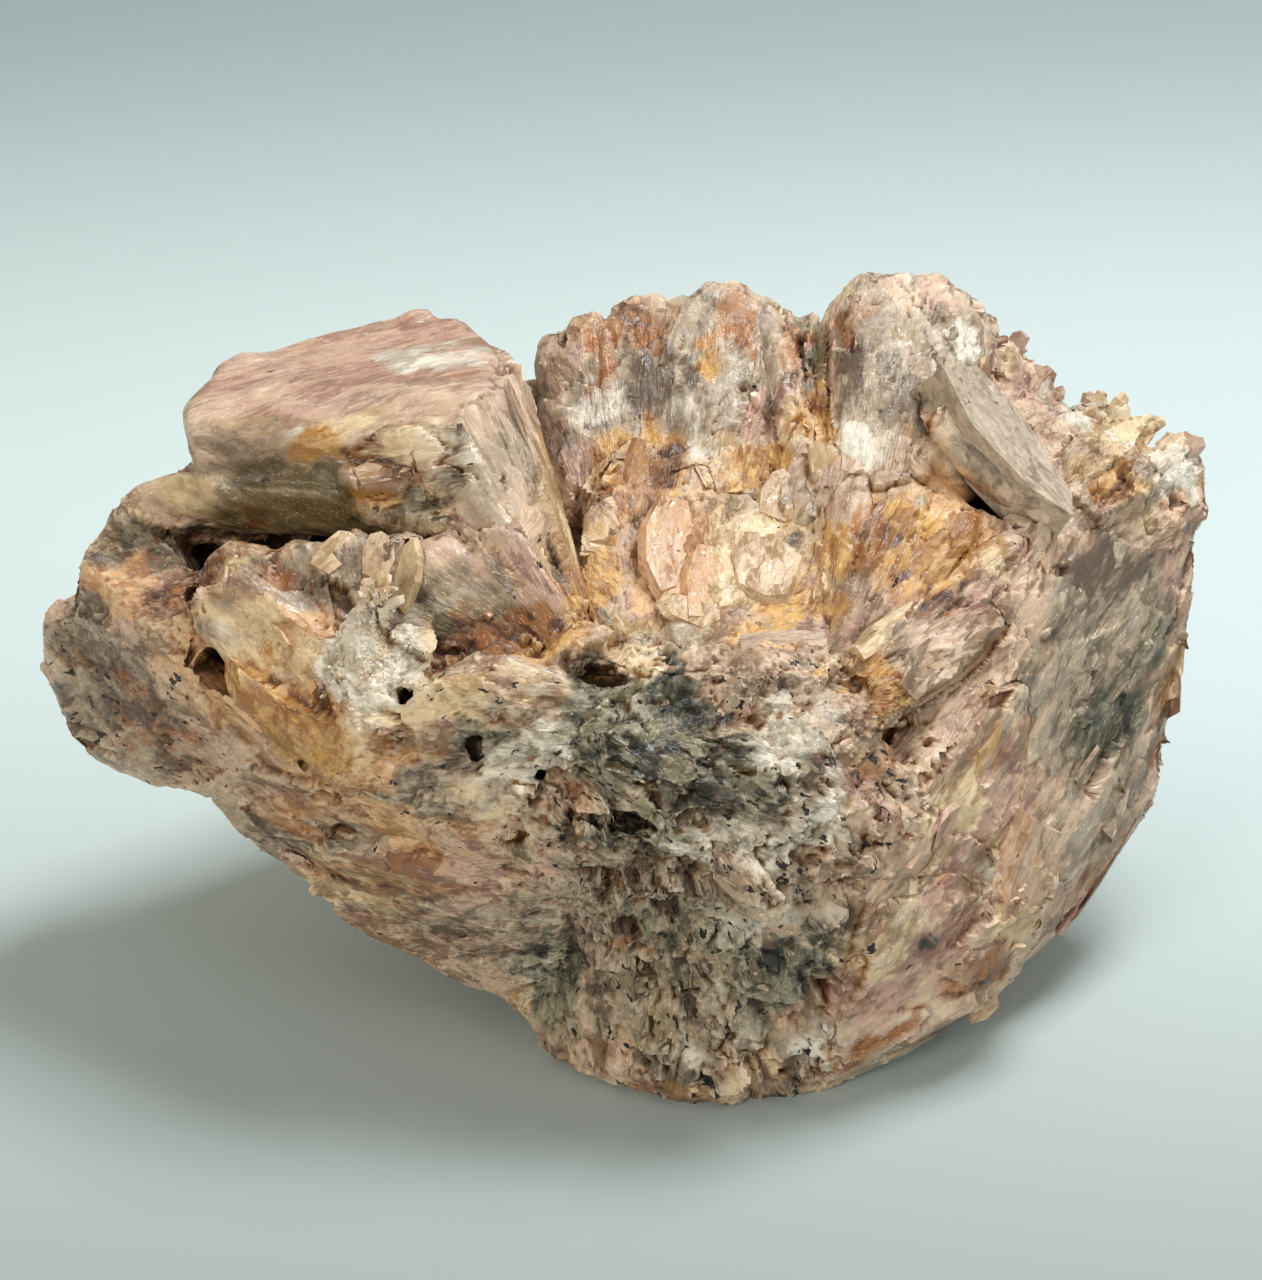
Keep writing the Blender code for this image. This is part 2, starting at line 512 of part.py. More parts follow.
def keep_outside(mesh):
    """Keeps the outer surface, in triangles, and drops the walls of any sealed hollow."""
    shape = bmesh.new()
    shape.from_mesh(mesh)
    bmesh.ops.triangulate(shape, faces=shape.faces)
    bodies = []
    waiting = set(shape.faces)
    while waiting:
        to_visit = [waiting.pop()]
        body = set(to_visit)
        while to_visit:
            for edge in to_visit.pop().edges:
                new = [face for face in edge.link_faces if face in waiting]
                waiting.difference_update(new)
                body.update(new)
                to_visit += new
        bodies.append(body)
    bodies.sort(key=len)
    for body in bodies[:-1]:
        bmesh.ops.delete(shape, geom=list(body), context="FACES")
    loose = [vertex for vertex in shape.verts if not vertex.link_faces]
    bmesh.ops.delete(shape, geom=loose, context="VERTS")
    shape.to_mesh(mesh)
    shape.free()


def main():
    """Builds the cluster."""
    clear_scene()
    joined = new_collection("joined_shapes")
    cutters = new_collection("cutters")
    masses = {name: new_solid(name, corners, joined) for name, corners in MASSES.items()}
    surface = surface_of(masses.values())
    for name, blade in BLADES.items():
        new_solid(name, blade_points(*blade), joined)
    for step, blade in enumerate(crest_blades()):
        new_solid(f"crest_{step:02d}", blade_points(*blade), joined)
    for step, plate in enumerate(plates(surface)):
        new_solid(f"plate_{step:03d}", plate_points(*plate), joined)
    for step, lump in enumerate(lumps(surface)):
        new_solid(f"lump_{step:02d}", lump, joined)
    chance = random.Random(PIT_SEED)
    for step, (middle, size) in enumerate(PITS):
        new_solid(f"pit_{step:02d}", pit_points(middle, size, chance), cutters)

    cluster = bpy.data.objects.new("barite_cluster", masses["heart"].data.copy())
    bpy.context.scene.collection.objects.link(cluster)
    boolean(cluster, "grown_together", "UNION", joined)
    boolean(cluster, "pits", "DIFFERENCE", cutters)
    grown = cluster.evaluated_get(bpy.context.evaluated_depsgraph_get())
    cluster.data = bpy.data.meshes.new_from_object(grown)
    cluster.modifiers.clear()
    for solid in list(joined.objects) + list(cutters.objects):
        bpy.data.objects.remove(solid)
    keep_outside(cluster.data)
    cluster.data.materials.clear()
    cluster.data.materials.append(barite_material())
    thin = cluster.modifiers.new("fewer_triangles", "DECIMATE")
    thin.ratio = min(1.0, MOST_TRIANGLES / len(cluster.data.polygons))
    new_solid("seat", seat_corners(), cutters)
    boolean(cluster, "flat_base", "DIFFERENCE", cutters)


if __name__ == "__main__":
    main()
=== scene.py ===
"""The looks of a cluster of bladed barite: its fine crystals, its colours, and the studio round it.

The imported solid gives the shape. A skin of small even faces is laid over it and roughened along the
way that the crystals run. Some hundreds of flakes, a few tufts and the largest crystals are then set
into that skin. Places below are in millimetres, measured from a point near the middle of the
footprint, until they go into a mesh.
"""

import logging
import math
from collections.abc import Iterator
from dataclasses import dataclass, field
from enum import Enum

import bpy
import numpy as np
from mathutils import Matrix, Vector
from mathutils.bvhtree import BVHTree
from mathutils.kdtree import KDTree


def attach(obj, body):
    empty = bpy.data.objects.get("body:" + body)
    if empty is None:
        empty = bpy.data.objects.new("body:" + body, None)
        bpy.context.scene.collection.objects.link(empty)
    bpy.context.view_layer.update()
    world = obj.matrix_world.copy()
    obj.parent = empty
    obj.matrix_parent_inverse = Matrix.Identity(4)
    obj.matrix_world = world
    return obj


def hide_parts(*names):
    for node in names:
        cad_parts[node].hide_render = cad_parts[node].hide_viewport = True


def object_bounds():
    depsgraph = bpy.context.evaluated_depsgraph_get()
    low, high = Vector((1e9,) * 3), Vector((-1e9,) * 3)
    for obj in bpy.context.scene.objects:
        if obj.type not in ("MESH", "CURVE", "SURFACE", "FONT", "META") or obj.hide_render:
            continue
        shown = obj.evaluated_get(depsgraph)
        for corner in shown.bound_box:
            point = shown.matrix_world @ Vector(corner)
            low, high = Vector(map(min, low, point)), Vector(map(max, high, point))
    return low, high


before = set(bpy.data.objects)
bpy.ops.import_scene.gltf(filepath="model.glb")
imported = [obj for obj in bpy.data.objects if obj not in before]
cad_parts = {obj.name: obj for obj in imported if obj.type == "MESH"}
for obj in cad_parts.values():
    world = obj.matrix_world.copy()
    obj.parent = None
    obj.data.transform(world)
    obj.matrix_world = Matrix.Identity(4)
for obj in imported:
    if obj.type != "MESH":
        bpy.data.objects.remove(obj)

CAD_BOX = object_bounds()
NODE = "barite_cluster"
BODY = "root"
FIBRE_STRETCH = 4.0  # how many times longer a fibre is drawn than the crystal that it is in

MM = 0.001
CENTRE = np.array([0.5, -6.9, 0.0])  # the middle of the footprint, in the millimetres used below
LOWEST, HIGHEST = (np.array(corner) / MM + CENTRE for corner in CAD_BOX)

STAIN_RIM = (0.55, 1.4)  # between which shares of its reach a stain fades out
MOTTLE_RIM = (0.1, 0.6)  # between which values of its noise a mottle sets in
TINT_RIM = (0.2, 0.72)  # between which amounts a tint sets in
ZONE_RIM = 0.3  # how much nearer one zone has to be than the next to have a place for itself
SURELY = 0.99  # a share from which the rest is left out

log = logging.getLogger("barite")


class Habit(Enum):
    """How the crystals of a zone lie."""

    FAN = "spread from a root"
    LATHS = "side by side, all one way"


class Area(Enum):
    """The stretches of the stone that each get a skin and a coat of flakes of their own."""

    LEFT = "left_block"
    BOWL = "bowl"
    RIGHT = "right_face"
    FRONT = "front"
    BACK = "back"


class Tint(Enum):
    """The finishes that a place on the stone can have, in the order in which they cover each other."""

    ROSE = "rose"
    PEACH = "peach"
    CREAM = "cream"
    SMOKE = "smoke"
    OLIVE = "olive"
    SLATE = "slate"
    CHALK = "chalk"
    GOLD = "gold"
    RUST = "rust"


@dataclass(frozen=True)
class Coat:
    """The flakes that cover a zone.

    Lengths are in millimetres and turns in degrees. The length, width and thickness are those of a
    common flake, and most lie within a third of it. cover is the number of flakes on each square
    centimetre, lift how steeply a flake rises from the skin, stray how far it turns from the way that
    its neighbours lie, and proud how far its middle stands out.
    """

    length: float
    width: float
    thickness: float
    cover: float
    lift: tuple
    stray: float
    proud: tuple


SHEETS = Coat(11.0, 7.5, 0.7, 0.32, (2.0, 9.0), 22.0, (-0.1, 0.4))
LATHS = Coat(6.0, 2.6, 0.6, 0.30, (0.0, 4.0), 8.0, (-0.8, -0.4))
SCALES = Coat(6.0, 4.0, 0.4, 0.15, (0.0, 3.0), 15.0, (-0.7, -0.4))
NEEDLES = Coat(4.5, 0.9, 0.4, 1.2, (0.0, 3.0), 9.0, (-0.9, -0.4))
BLADES = Coat(5.0, 3.2, 0.6, 0.35, (0.0, 8.0), 20.0, (-0.8, -0.3))
CRUMBS = Coat(2.6, 1.4, 0.5, 1.6, (0.0, 22.0), 40.0, (-1.0, -0.3))
SHINGLES = Coat(10.0, 4.6, 0.7, 0.60, (0.0, 3.0), 10.0, (-0.8, -0.3))
SPARSE = Coat(6.0, 4.0, 0.4, 0.04, (0.0, 1.5), 20.0, (-0.8, -0.5))


@dataclass(frozen=True)
class Zone:
    """A stretch of the stone in which the crystals lie one way.

    guide is the root of a fan, or the way that laths run. softened is how many times the big steps are
    smoothed. plate is how wide the zone's plates are, stretch how many times longer than wide, and step
    how far a plate's free end stands out. pitted and specked say how many pits and dark specks there
    are, bite how rough the finish is, groove and rib how deep the grooves between big crystals may be
    and how high the crystals may stand, and flat how flat the crystals' faces are.
    """

    area: Area
    middle: tuple
    reach: tuple
    habit: Habit
    guide: tuple
    coat: Coat
    softened: int
    plate: float
    stretch: float
    step: float
    pitted: float = 0.0
    specked: float = 0.1
    bite: float = 1.0
    groove: float = 9.0
    rib: float = 9.0
    flat: float = 1.0


ZONES = {
    "block_top": Zone(
        Area.LEFT, (-48, 6, 100), (28, 22, 8), Habit.LATHS, (0.9, 0.4, 0.0), SPARSE, 9, 7.0, 2.5, 0.2,
        bite=0.5, flat=0.15,
    ),
    "block_front": Zone(
        Area.LEFT, (-58, -13, 87), (22, 8, 8), Habit.LATHS, (1.0, 0.1, -0.5), SPARSE, 6, 9.0, 2.0, 0.12,
        bite=0.3, flat=0.15,
    ),
    "block_face": Zone(
        Area.LEFT, (-34, -15, 92), (12, 7, 8), Habit.LATHS, (1.0, 0.0, 0.1), BLADES, 3, 4.0, 2.6, 0.8
    ),
    "ridge": Zone(
        Area.LEFT, (-14, -12, 88), (14, 26, 18), Habit.FAN, (-3, -44, 66), LATHS, 3, 3.2, 6.0, 0.4
    ),
    "shell": Zone(
        Area.LEFT, (-26, -30, 78), (18, 10, 10), Habit.FAN, (-2, -42, 64), SPARSE, 3, 6.0, 2.0, 0.35
    ),
    "scallops": Zone(
        Area.LEFT, (-48, -22, 80), (22, 8, 7), Habit.FAN, (-40, -44, 58), SPARSE, 3, 5.0, 1.2, 0.5, bite=0.6
    ),
    "peach": Zone(
        Area.LEFT, (-54, -36, 68), (20, 12, 14), Habit.FAN, (-26, -46, 46), LATHS, 3, 4.6, 3.4, 0.6,
        bite=0.6, groove=1.2, rib=1.2,
    ),
    "nose_left": Zone(
        Area.LEFT, (-82, -18, 71), (14, 12, 10), Habit.FAN, (-50, -20, 56), SCALES, 3, 3.8, 2.0, 0.7,
        groove=2.0, rib=1.4,
    ),
    "lobe": Zone(
        Area.LEFT, (-82, -22, 52), (20, 16, 16), Habit.FAN, (-30, -30, 50), SPARSE, 4, 6.0, 1.8, 0.5,
        0.12, 0.9, 0.7, groove=2.5, rib=1.4,
    ),
    "flank": Zone(
        Area.FRONT, (-42, -38, 26), (30, 18, 20), Habit.FAN, (10, -50, 40), SCALES, 3, 4.6, 2.6, 0.6,
        0.06, 0.4,
    ),
    "belt": Zone(
        Area.FRONT, (-24, -48, 64), (18, 10, 12), Habit.FAN, (12, -40, 60), BLADES, 2, 3.6, 2.2, 0.8,
        0.15, 0.7, groove=2.0, rib=1.6,
    ),
    "fan": Zone(
        Area.BOWL, (4, 16, 84), (26, 34, 18), Habit.FAN, (2, -46, 56), LATHS, 2, 5.0, 2.0, 0.9,
        groove=0.4, rib=1.0,
    ),
    "bowl": Zone(
        Area.BOWL, (12, -16, 73), (24, 22, 7), Habit.FAN, (4, -46, 62), SHEETS, 2, 5.5, 1.5, 0.8,
        groove=1.0, rib=1.2,
    ),
    "right_fan": Zone(
        Area.BOWL, (48, 20, 90), (18, 26, 14), Habit.FAN, (32, -40, 62), LATHS, 2, 4.6, 2.0, 0.9,
        groove=0.4, rib=1.0,
    ),
    "fibres": Zone(
        Area.BOWL, (46, -18, 72), (18, 20, 12), Habit.FAN, (28, -42, 60), NEEDLES, 2, 2.2, 4.0, 0.6,
        groove=0.6, rib=0.4,
    ),
    "block_crystal": Zone(
        Area.BOWL, (60, 4, 86), (13, 12, 12), Habit.LATHS, (0.6, -0.2, -0.7), SPARSE, 2, 8.0, 1.5, 0.1,
        bite=0.4, groove=1.5, rib=0.5, flat=0.0,
    ),
    "right_top": Zone(
        Area.RIGHT, (84, 20, 74), (16, 18, 10), Habit.FAN, (56, -10, 56), SPARSE, 3, 3.6, 2.0, 0.8
    ),
    "right_face": Zone(
        Area.RIGHT, (76, -16, 42), (26, 26, 34), Habit.LATHS, (13, 18, 11), SHINGLES, 4, 5.2, 2.6, 0.42,
        bite=0.7, groove=1.5,
    ),
    "saddle": Zone(
        Area.FRONT, (12, -40, 68), (22, 10, 8), Habit.FAN, (8, -20, 50), CRUMBS, 3, 3.2, 1.6, 0.8, 0.3, 0.7
    ),
    "matrix": Zone(
        Area.FRONT, (14, -54, 54), (26, 10, 12), Habit.FAN, (-22, -36, 64), CRUMBS, 3, 2.4, 2.2, 0.9, 0.6, 1.0
    ),
    "chin": Zone(
        Area.FRONT, (10, -60, 22), (24, 10, 24), Habit.FAN, (2, -40, 56), CRUMBS, 3, 3.2, 3.0, 0.8, 0.36, 0.9
    ),
    "nose_right": Zone(
        Area.RIGHT, (52, -50, 18), (20, 12, 18), Habit.FAN, (10, -56, 0), SCALES, 3, 5.0, 3.0, 0.5,
        0.03, 0.3, 0.7, groove=1.0, rib=1.0,
    ),
    "back": Zone(
        Area.BACK, (10, 40, 40), (90, 30, 50), Habit.FAN, (12, -30, 4), SCALES, 4, 5.0, 2.6, 0.8, 0.06, 0.3
    ),
}


@dataclass(frozen=True)
class Stain:
    """A patch of a tint: where it is and how far it reaches, in millimetres, and how strong it is."""

    middle: tuple
    reach: tuple
    strength: float

    def cover(self, places: np.ndarray) -> np.ndarray:
        """How much of the tint the patch gives each place, from 0 to its strength."""
        gap = np.linalg.norm((places - self.middle) / self.reach, axis=1)
        return self.strength * (1 - smoothly(gap, *STAIN_RIM))


# For each tint, the middle, the reach and the strength of its stains
PATCHES = {
    Tint.ROSE: (
        ((14, 33, 97), (12, 8, 8), 0.9), ((46, 26, 98), (14, 10, 8), 0.9), ((83, -4, 58), (9, 8, 10), 0.4),
        ((-4, 34, 94), (10, 7, 7), 0.9), ((50, 26, 97), (9, 9, 6), 0.7), ((58, 28, 95), (6, 7, 5), 0.6),
        ((46, -50, 20), (14, 10, 10), 0.5), ((6, 14, 86), (20, 16, 8), 0.6),
        ((46, 18, 94), (14, 14, 8), 0.7), ((-50, 8, 100), (32, 24, 8), 0.6),
        ((-40, -16, 93), (6, 4, 3), 0.8), ((-16, -29, 84), (7, 9, 7), 0.8),
        ((-66, -30, 76), (7, 6, 4), 0.5), ((-92, -18, 64), (7, 8, 10), 0.7),
        ((-34, -48, 36), (16, 10, 12), 0.6), ((-11, -56, 44), (9, 6, 5), 0.6),
        ((3, 35, 97), (15, 8, 6), 1.0), ((17, 18, 87), (8, 12, 6), 0.5), ((46, 32, 100), (12, 8, 6), 0.9),
        ((42, 22, 96), (8, 8, 4), 0.6), ((50, -18, 77), (6, 6, 4), 0.5), ((74, 38, 82), (16, 8, 8), 0.7),
        ((94, 16, 73), (8, 12, 8), 0.6), ((92, 0, 60), (9, 12, 12), 0.4), ((60, -38, 40), (12, 10, 8), 0.8),
        ((50, -45, 41), (8, 8, 7), 0.6), ((76, -30, 22), (12, 10, 8), 0.5),
        ((43, -56, 18), (12, 8, 10), 0.8), ((-50, 34, 60), (30, 20, 24), 0.6),
    ),
    Tint.PEACH: (
        ((-55, -44, 62), (9, 7, 8), 0.7), ((-60, -38, 67), (15, 12, 12), 1.0),
        ((-46, -46, 58), (12, 8, 9), 0.9), ((-58, -38, 69), (14, 10, 8), 0.9),
        ((-55, -45, 61), (12, 8, 8), 0.8), ((-50, -42, 66), (16, 8, 8), 0.6),
        ((-30, -44, 48), (18, 10, 8), 0.4), ((-67, -32, 73), (10, 8, 5), 0.8),
        ((-57, -39, 69), (8, 6, 5), 0.8), ((50, 16, 94), (8, 10, 6), 0.5), ((4, 10, 82), (9, 10, 6), 0.7),
        ((-8, -24, 82), (5, 16, 8), 0.6), ((-6, -35, 76), (5, 6, 6), 0.7),
        ((-60, -38, 70), (14, 12, 8), 0.9), ((-84, -21, 75), (9, 8, 5), 0.8),
        ((-44, -42, 38), (20, 14, 12), 0.6), ((8, -18, 77), (8, 16, 6), 1.0),
        ((52, -8, 80), (9, 10, 5), 0.8), ((70, 26, 86), (10, 8, 4), 0.5), ((94, 12, 71), (5, 5, 4), 0.5),
        ((40, 44, 60), (30, 20, 20), 0.5),
    ),
    Tint.CREAM: (
        ((-64, -30, 74), (9, 6, 4), 0.7), ((-44, -43, 64), (10, 7, 7), 0.7),
        ((86, 30, 77), (10, 9, 5), 0.8), ((50, -42, 47), (9, 8, 8), 0.5), ((64, -40, 32), (9, 8, 8), 0.6),
        ((-56, -12, 97), (16, 5, 3), 0.5), ((-72, -11, 86), (12, 6, 4), 0.8),
        ((-11, -14, 88), (6, 20, 12), 0.6), ((-59, -23, 82), (8, 5, 3), 0.5),
        ((-41, -42, 74), (12, 10, 10), 0.8), ((-61, -36, 71), (9, 7, 4), 0.6),
        ((-84, -19, 79), (8, 8, 3), 0.5), ((-28, -48, 69), (10, 6, 6), 0.8),
        ((1, -37, 72), (13, 7, 4), 0.9), ((21, -12, 76), (10, 16, 5), 0.8), ((18, 10, 83), (7, 7, 5), 0.5),
        ((56, -14, 76), (8, 8, 5), 0.6), ((79, 12, 80), (9, 8, 4), 0.8), ((64, -22, 58), (7, 10, 10), 0.4),
        ((63, -45, 26), (7, 6, 6), 0.8), ((35, -56, 27), (8, 6, 5), 0.6),
        ((-10, 46, 74), (24, 14, 12), 0.5),
    ),
    Tint.SMOKE: (
        ((10, -58, 40), (30, 12, 28), 0.55), ((15, 32, 96), (10, 8, 8), 0.7),
        ((44, 26, 98), (12, 9, 7), 0.4), ((8, 20, 88), (16, 12, 9), 0.55), ((47, 15, 92), (13, 12, 8), 0.7),
        ((83, -4, 58), (10, 9, 12), 0.7), ((24, -52, 60), (8, 6, 6), 0.6), ((42, 28, 98), (8, 8, 5), 0.6),
        ((50, 12, 94), (8, 8, 5), 0.5), ((2, 24, 88), (10, 10, 6), 0.6), ((50, 22, 95), (12, 14, 8), 0.8),
        ((8, 28, 92), (18, 12, 8), 0.6), ((84, -20, 30), (16, 14, 14), 0.5),
        ((-66, -10, 90), (8, 6, 6), 0.5), ((-23, -19, 94), (7, 9, 9), 0.8),
        ((-28, -30, 80), (8, 6, 5), 0.6), ((-48, -27, 81), (16, 6, 4), 0.6),
        ((-52, -30, 78), (8, 5, 3), 0.7), ((-84, -22, 54), (17, 14, 14), 0.95),
        ((-63, -29, 33), (10, 8, 8), 0.8), ((-26, -48, 26), (14, 8, 10), 0.5),
        ((20, -46, 70), (10, 6, 4), 0.5), ((-2, -59, 38), (14, 8, 10), 0.6),
        ((8, -62, 16), (18, 8, 12), 0.7), ((18, 34, 96), (9, 7, 6), 0.8), ((-4, 22, 88), (9, 9, 5), 0.8),
        ((8, 18, 86), (7, 8, 5), 0.5), ((20, 26, 91), (6, 8, 6), 0.7), ((45, 14, 92), (10, 10, 5), 0.6),
        ((31, 32, 96), (6, 6, 5), 0.6), ((43, -32, 70), (8, 6, 4), 0.6), ((62, 4, 86), (10, 9, 8), 0.95),
        ((84, 9, 79), (6, 6, 3), 0.5), ((80, -5, 60), (17, 13, 12), 0.85),
        ((70, -19, 50), (12, 10, 12), 0.6), ((50, -54, 6), (14, 7, 4), 0.5),
        ((0, 50, 40), (40, 20, 30), 0.5),
    ),
    Tint.OLIVE: (
        ((12, -60, 22), (22, 10, 16), 0.4), ((4, -52, 60), (16, 8, 8), 0.5),
        ((30, 29, 91), (4.5, 9, 7), 1.0), ((-26, -33, 76), (9, 6, 5), 0.9),
        ((-24, -35, 74), (7, 5, 5), 0.8), ((-52, -13, 84), (17, 7, 7), 1.0),
        ((-47, -14, 80), (11, 6, 4), 0.9), ((-35, -21, 86), (8, 5, 3), 0.9),
        ((-75, -15, 78), (13, 8, 3), 0.9), ((-30, -33, 77), (6, 5, 3), 0.7), ((8, -54, 62), (7, 6, 5), 0.5),
        ((30, 26, 88), (4, 9, 7), 1.0), ((62, 0, 79), (6, 4, 3), 0.7),
    ),
    Tint.SLATE: (
        ((45, -55, 14.5), (4, 4, 1.1), 0.55), ((40, -57, 11.5), (4, 4, 1.0), 0.45),
        ((59, -49, 19), (6, 5, 1.0), 0.35), ((30, 32, 93), (3, 7, 6), 0.9), ((22, -52, 60), (9, 6, 5), 0.6),
        ((6, -50, 64), (12, 6, 5), 0.5), ((-3, -46, 66), (8, 6, 5), 0.7),
        ((-2, -56, 51), (11, 5, 2.5), 1.0), ((19, -55, 59), (6, 5, 5), 0.6),
        ((2, -50, 63), (12, 7, 6), 0.6), ((-24, -49, 62), (5, 4, 4), 0.7), ((2, -44, 67), (8, 5, 4), 0.8),
        ((-2, -51, 62), (9, 7, 6), 1.0), ((11, -55, 57), (13, 7, 6), 0.85),
        ((4, -57, 50), (13, 6, 2.5), 1.0), ((25, -60, 25), (8, 6, 7), 0.9),
        ((-12, -52, 18), (6, 8, 14), 0.8), ((10, -60, 33), (12, 6, 8), 0.55),
        ((80, -14, 44), (9, 8, 6), 0.8), ((88, -4, 50), (6, 8, 6), 0.5), ((46, -55, 26), (2.5, 3, 2), 1.0),
    ),
    Tint.GOLD: (
        ((-53, -46, 60), (8, 6, 5), 0.5), ((31, 15, 84), (4.5, 6, 4), 1.0),
        ((-55, -44, 62), (9, 7, 6), 0.5), ((0, 6, 81), (8, 10, 5), 0.9), ((32, 15, 85), (6, 8, 4), 0.9),
        ((-49, -13, 94), (5, 5, 3), 1.0), ((-42, -18, 88), (7, 5, 3), 0.8),
        ((-6, -26, 79), (4, 14, 6), 0.7), ((-14, -37, 73), (9, 5, 4), 1.0),
        ((-62, -38, 66), (8, 6, 5), 0.6), ((-54, -46, 61), (12, 8, 8), 0.7), ((14, 26, 92), (3, 8, 3), 0.7),
        ((4, 0, 79), (6, 10, 5), 0.95), ((-5, -18, 78), (4, 12, 5), 0.8), ((21, 6, 80), (5, 5, 3), 1.0),
        ((20, -34, 72), (8, 4, 3), 0.6), ((27, -25, 72), (8, 6, 3), 0.9), ((32, 14, 85), (4, 8, 4), 1.0),
        ((44, -14, 78), (15, 12, 6), 0.9), ((36, -36, 70), (8, 4, 4), 0.6),
        ((43, -39, 64), (10, 6, 6), 0.6), ((81, 6, 78), (7, 4, 3), 0.8), ((56, -33, 56), (4, 8, 8), 0.4),
        ((-60, 20, 44), (20, 12, 8), 0.4),
    ),
    Tint.RUST: (
        ((-5, 31, 92), (3.5, 9, 8), 0.8), ((3, 34, 95), (3, 8, 7), 0.7), ((20, 33, 97), (3, 9, 8), 0.8),
        ((38, 27, 97), (3, 9, 8), 0.7), ((28, 30, 92), (3, 9, 8), 0.9), ((37, -58, 9), (4, 4, 1.6), 1.3),
        ((-26, -35, 73), (8, 5, 4), 0.5), ((3, 2, 78), (6, 9, 5), 0.9), ((41, -57, 11), (10, 6, 3.5), 0.4),
        ((58, -49, 19), (8, 6, 4), 0.6), ((46, -54, 15), (3.5, 4, 1.8), 1.4),
        ((-44, -15, 93), (6, 4, 2), 0.8), ((-34, -17, 91), (9, 4, 2), 0.9),
        ((-66, -18, 79), (10, 6, 3), 0.8), ((-18, -35, 74), (10, 6, 4), 0.7),
        ((-57, -22, 78), (12, 5, 2.5), 0.8), ((-54, -46, 61), (5, 5, 3), 0.3),
        ((-74, -24, 74), (8, 5, 2.5), 0.7), ((-80, -27, 52), (14, 10, 10), 0.5),
        ((-40, -44, 30), (18, 8, 5), 0.4), ((0, -59, 30), (5, 4, 4), 0.7), ((-6, 34, 94), (9, 6, 4), 0.8),
        ((6, 33, 95), (5, 4, 4), 0.5), ((2, 5, 80), (6, 7, 5), 1.0), ((-3, -3, 80), (4, 6, 4), 0.8),
        ((30, -24, 72), (4, 4, 3), 0.5), ((31, 20, 86), (3, 6, 4), 0.7), ((42, 30, 98), (4, 4, 3), 0.4),
        ((39, -12, 80), (5, 8, 4), 0.7), ((47, -24, 73), (6, 7, 4), 0.9), ((84, 6, 76), (5, 3, 2), 0.6),
        ((58, -50, 17), (6, 5, 2.4), 1.0), ((42, -56, 12), (4, 4, 1.6), 1.4),
        ((10, 48, 66), (30, 10, 5), 0.4),
    ),
    Tint.CHALK: (
        ((-58, -12, 97), (8, 2.5, 1.6), 0.6), ((-40, -42, 72), (8, 7, 9), 0.8),
        ((92, 14, 76), (9, 9, 5), 0.6), ((-41, -41, 75), (8, 7, 9), 0.9), ((92, 22, 77), (8, 8, 4), 0.5),
        ((26, -46, 64), (7, 6, 5), 0.4), ((82, 34, 79), (7, 8, 4), 0.6), ((-35, 6, 101), (10, 6, 5), 0.7),
        ((-24, -16, 98), (4, 4, 4), 0.5), ((-41, -42, 75), (7, 7, 8), 1.0),
        ((-17, -51, 61), (8, 6, 5), 0.9), ((7, -38, 72), (6, 5, 3), 0.4), ((25, -50, 61), (7, 6, 5), 0.5),
        ((17, -59, 50), (12, 6, 3), 0.8), ((28, -54, 52), (8, 6, 6), 0.6), ((20, -61, 36), (9, 5, 6), 0.5),
        ((-5, 20, 88), (4, 6, 3), 0.6), ((12, 10, 83), (5, 5, 3), 0.5), ((39, 6, 88), (6, 6, 4), 1.0),
        ((57, 26, 96), (4, 6, 4), 0.8), ((58, 6, 91), (4, 5, 4), 0.5), ((54, -42, 34), (7, 6, 4), 0.5),
        ((32, -59, 10), (8, 5, 4), 0.5),
    ),
}
STAINS = {tint: [Stain(*row) for row in rows] for tint, rows in PATCHES.items()}
MOTTLES = {Tint.ROSE: 0.6, Tint.PEACH: 0.4, Tint.CREAM: 0.6, Tint.SMOKE: 0.55, Tint.CHALK: 0.25}


def chance(cells: np.ndarray, seed: int) -> np.ndarray:
    """Gives each whole-numbered cell its own number from 0 to 1.

    Args:
        cells: Whole coordinates, one row of three for each point.
        seed: Picks one of many such sets of numbers.

    Returns:
        One number for each row.
    """
    mixed = cells.astype(np.int64).astype(np.uint32)
    value = mixed[:, 0] * np.uint32(73856093) ^ mixed[:, 1] * np.uint32(19349663)
    value = value ^ mixed[:, 2] * np.uint32(83492791) ^ np.uint32((seed * 2654435761) % 2**32)
    for shift, factor in ((16, 2246822507), (13, 3266489909)):
        value = (value ^ (value >> np.uint32(shift))) * np.uint32(factor)
    value = value ^ (value >> np.uint32(16))
    return value.astype(np.float64) / 2**32


def chances(cells: np.ndarray, seed: int) -> np.ndarray:
    """Gives each whole-numbered cell three numbers of its own from 0 to 1."""
    return np.stack([chance(cells, seed + axis) for axis in range(3)], axis=1)


def corners_round(spots: np.ndarray, soft: bool) -> Iterator[tuple]:
    """Finds the eight whole-numbered cells round each spot.

    Args:
        spots: One row of three for each spot.
        soft: Whether a blend levels out at the cells.

    Returns:
        One after the other, the cells and the share that each has in a blend.
    """
    base = np.floor(spots)
    part = spots - base
    if soft:
        part = smoothly(part, 0, 1)
    for corner in range(8):
        offset = np.array([corner & 1, corner >> 1 & 1, corner >> 2 & 1])
        yield base + offset, np.prod(np.where(offset, part, 1 - part), axis=1)


def cells_round(spots: np.ndarray) -> Iterator[np.ndarray]:
    """The cells next to the one that each spot lies in, and that one, one after the other."""
    base = np.floor(spots)
    for step in range(27):
        yield base + np.array([step % 3 - 1, step // 3 % 3 - 1, step // 9 - 1])


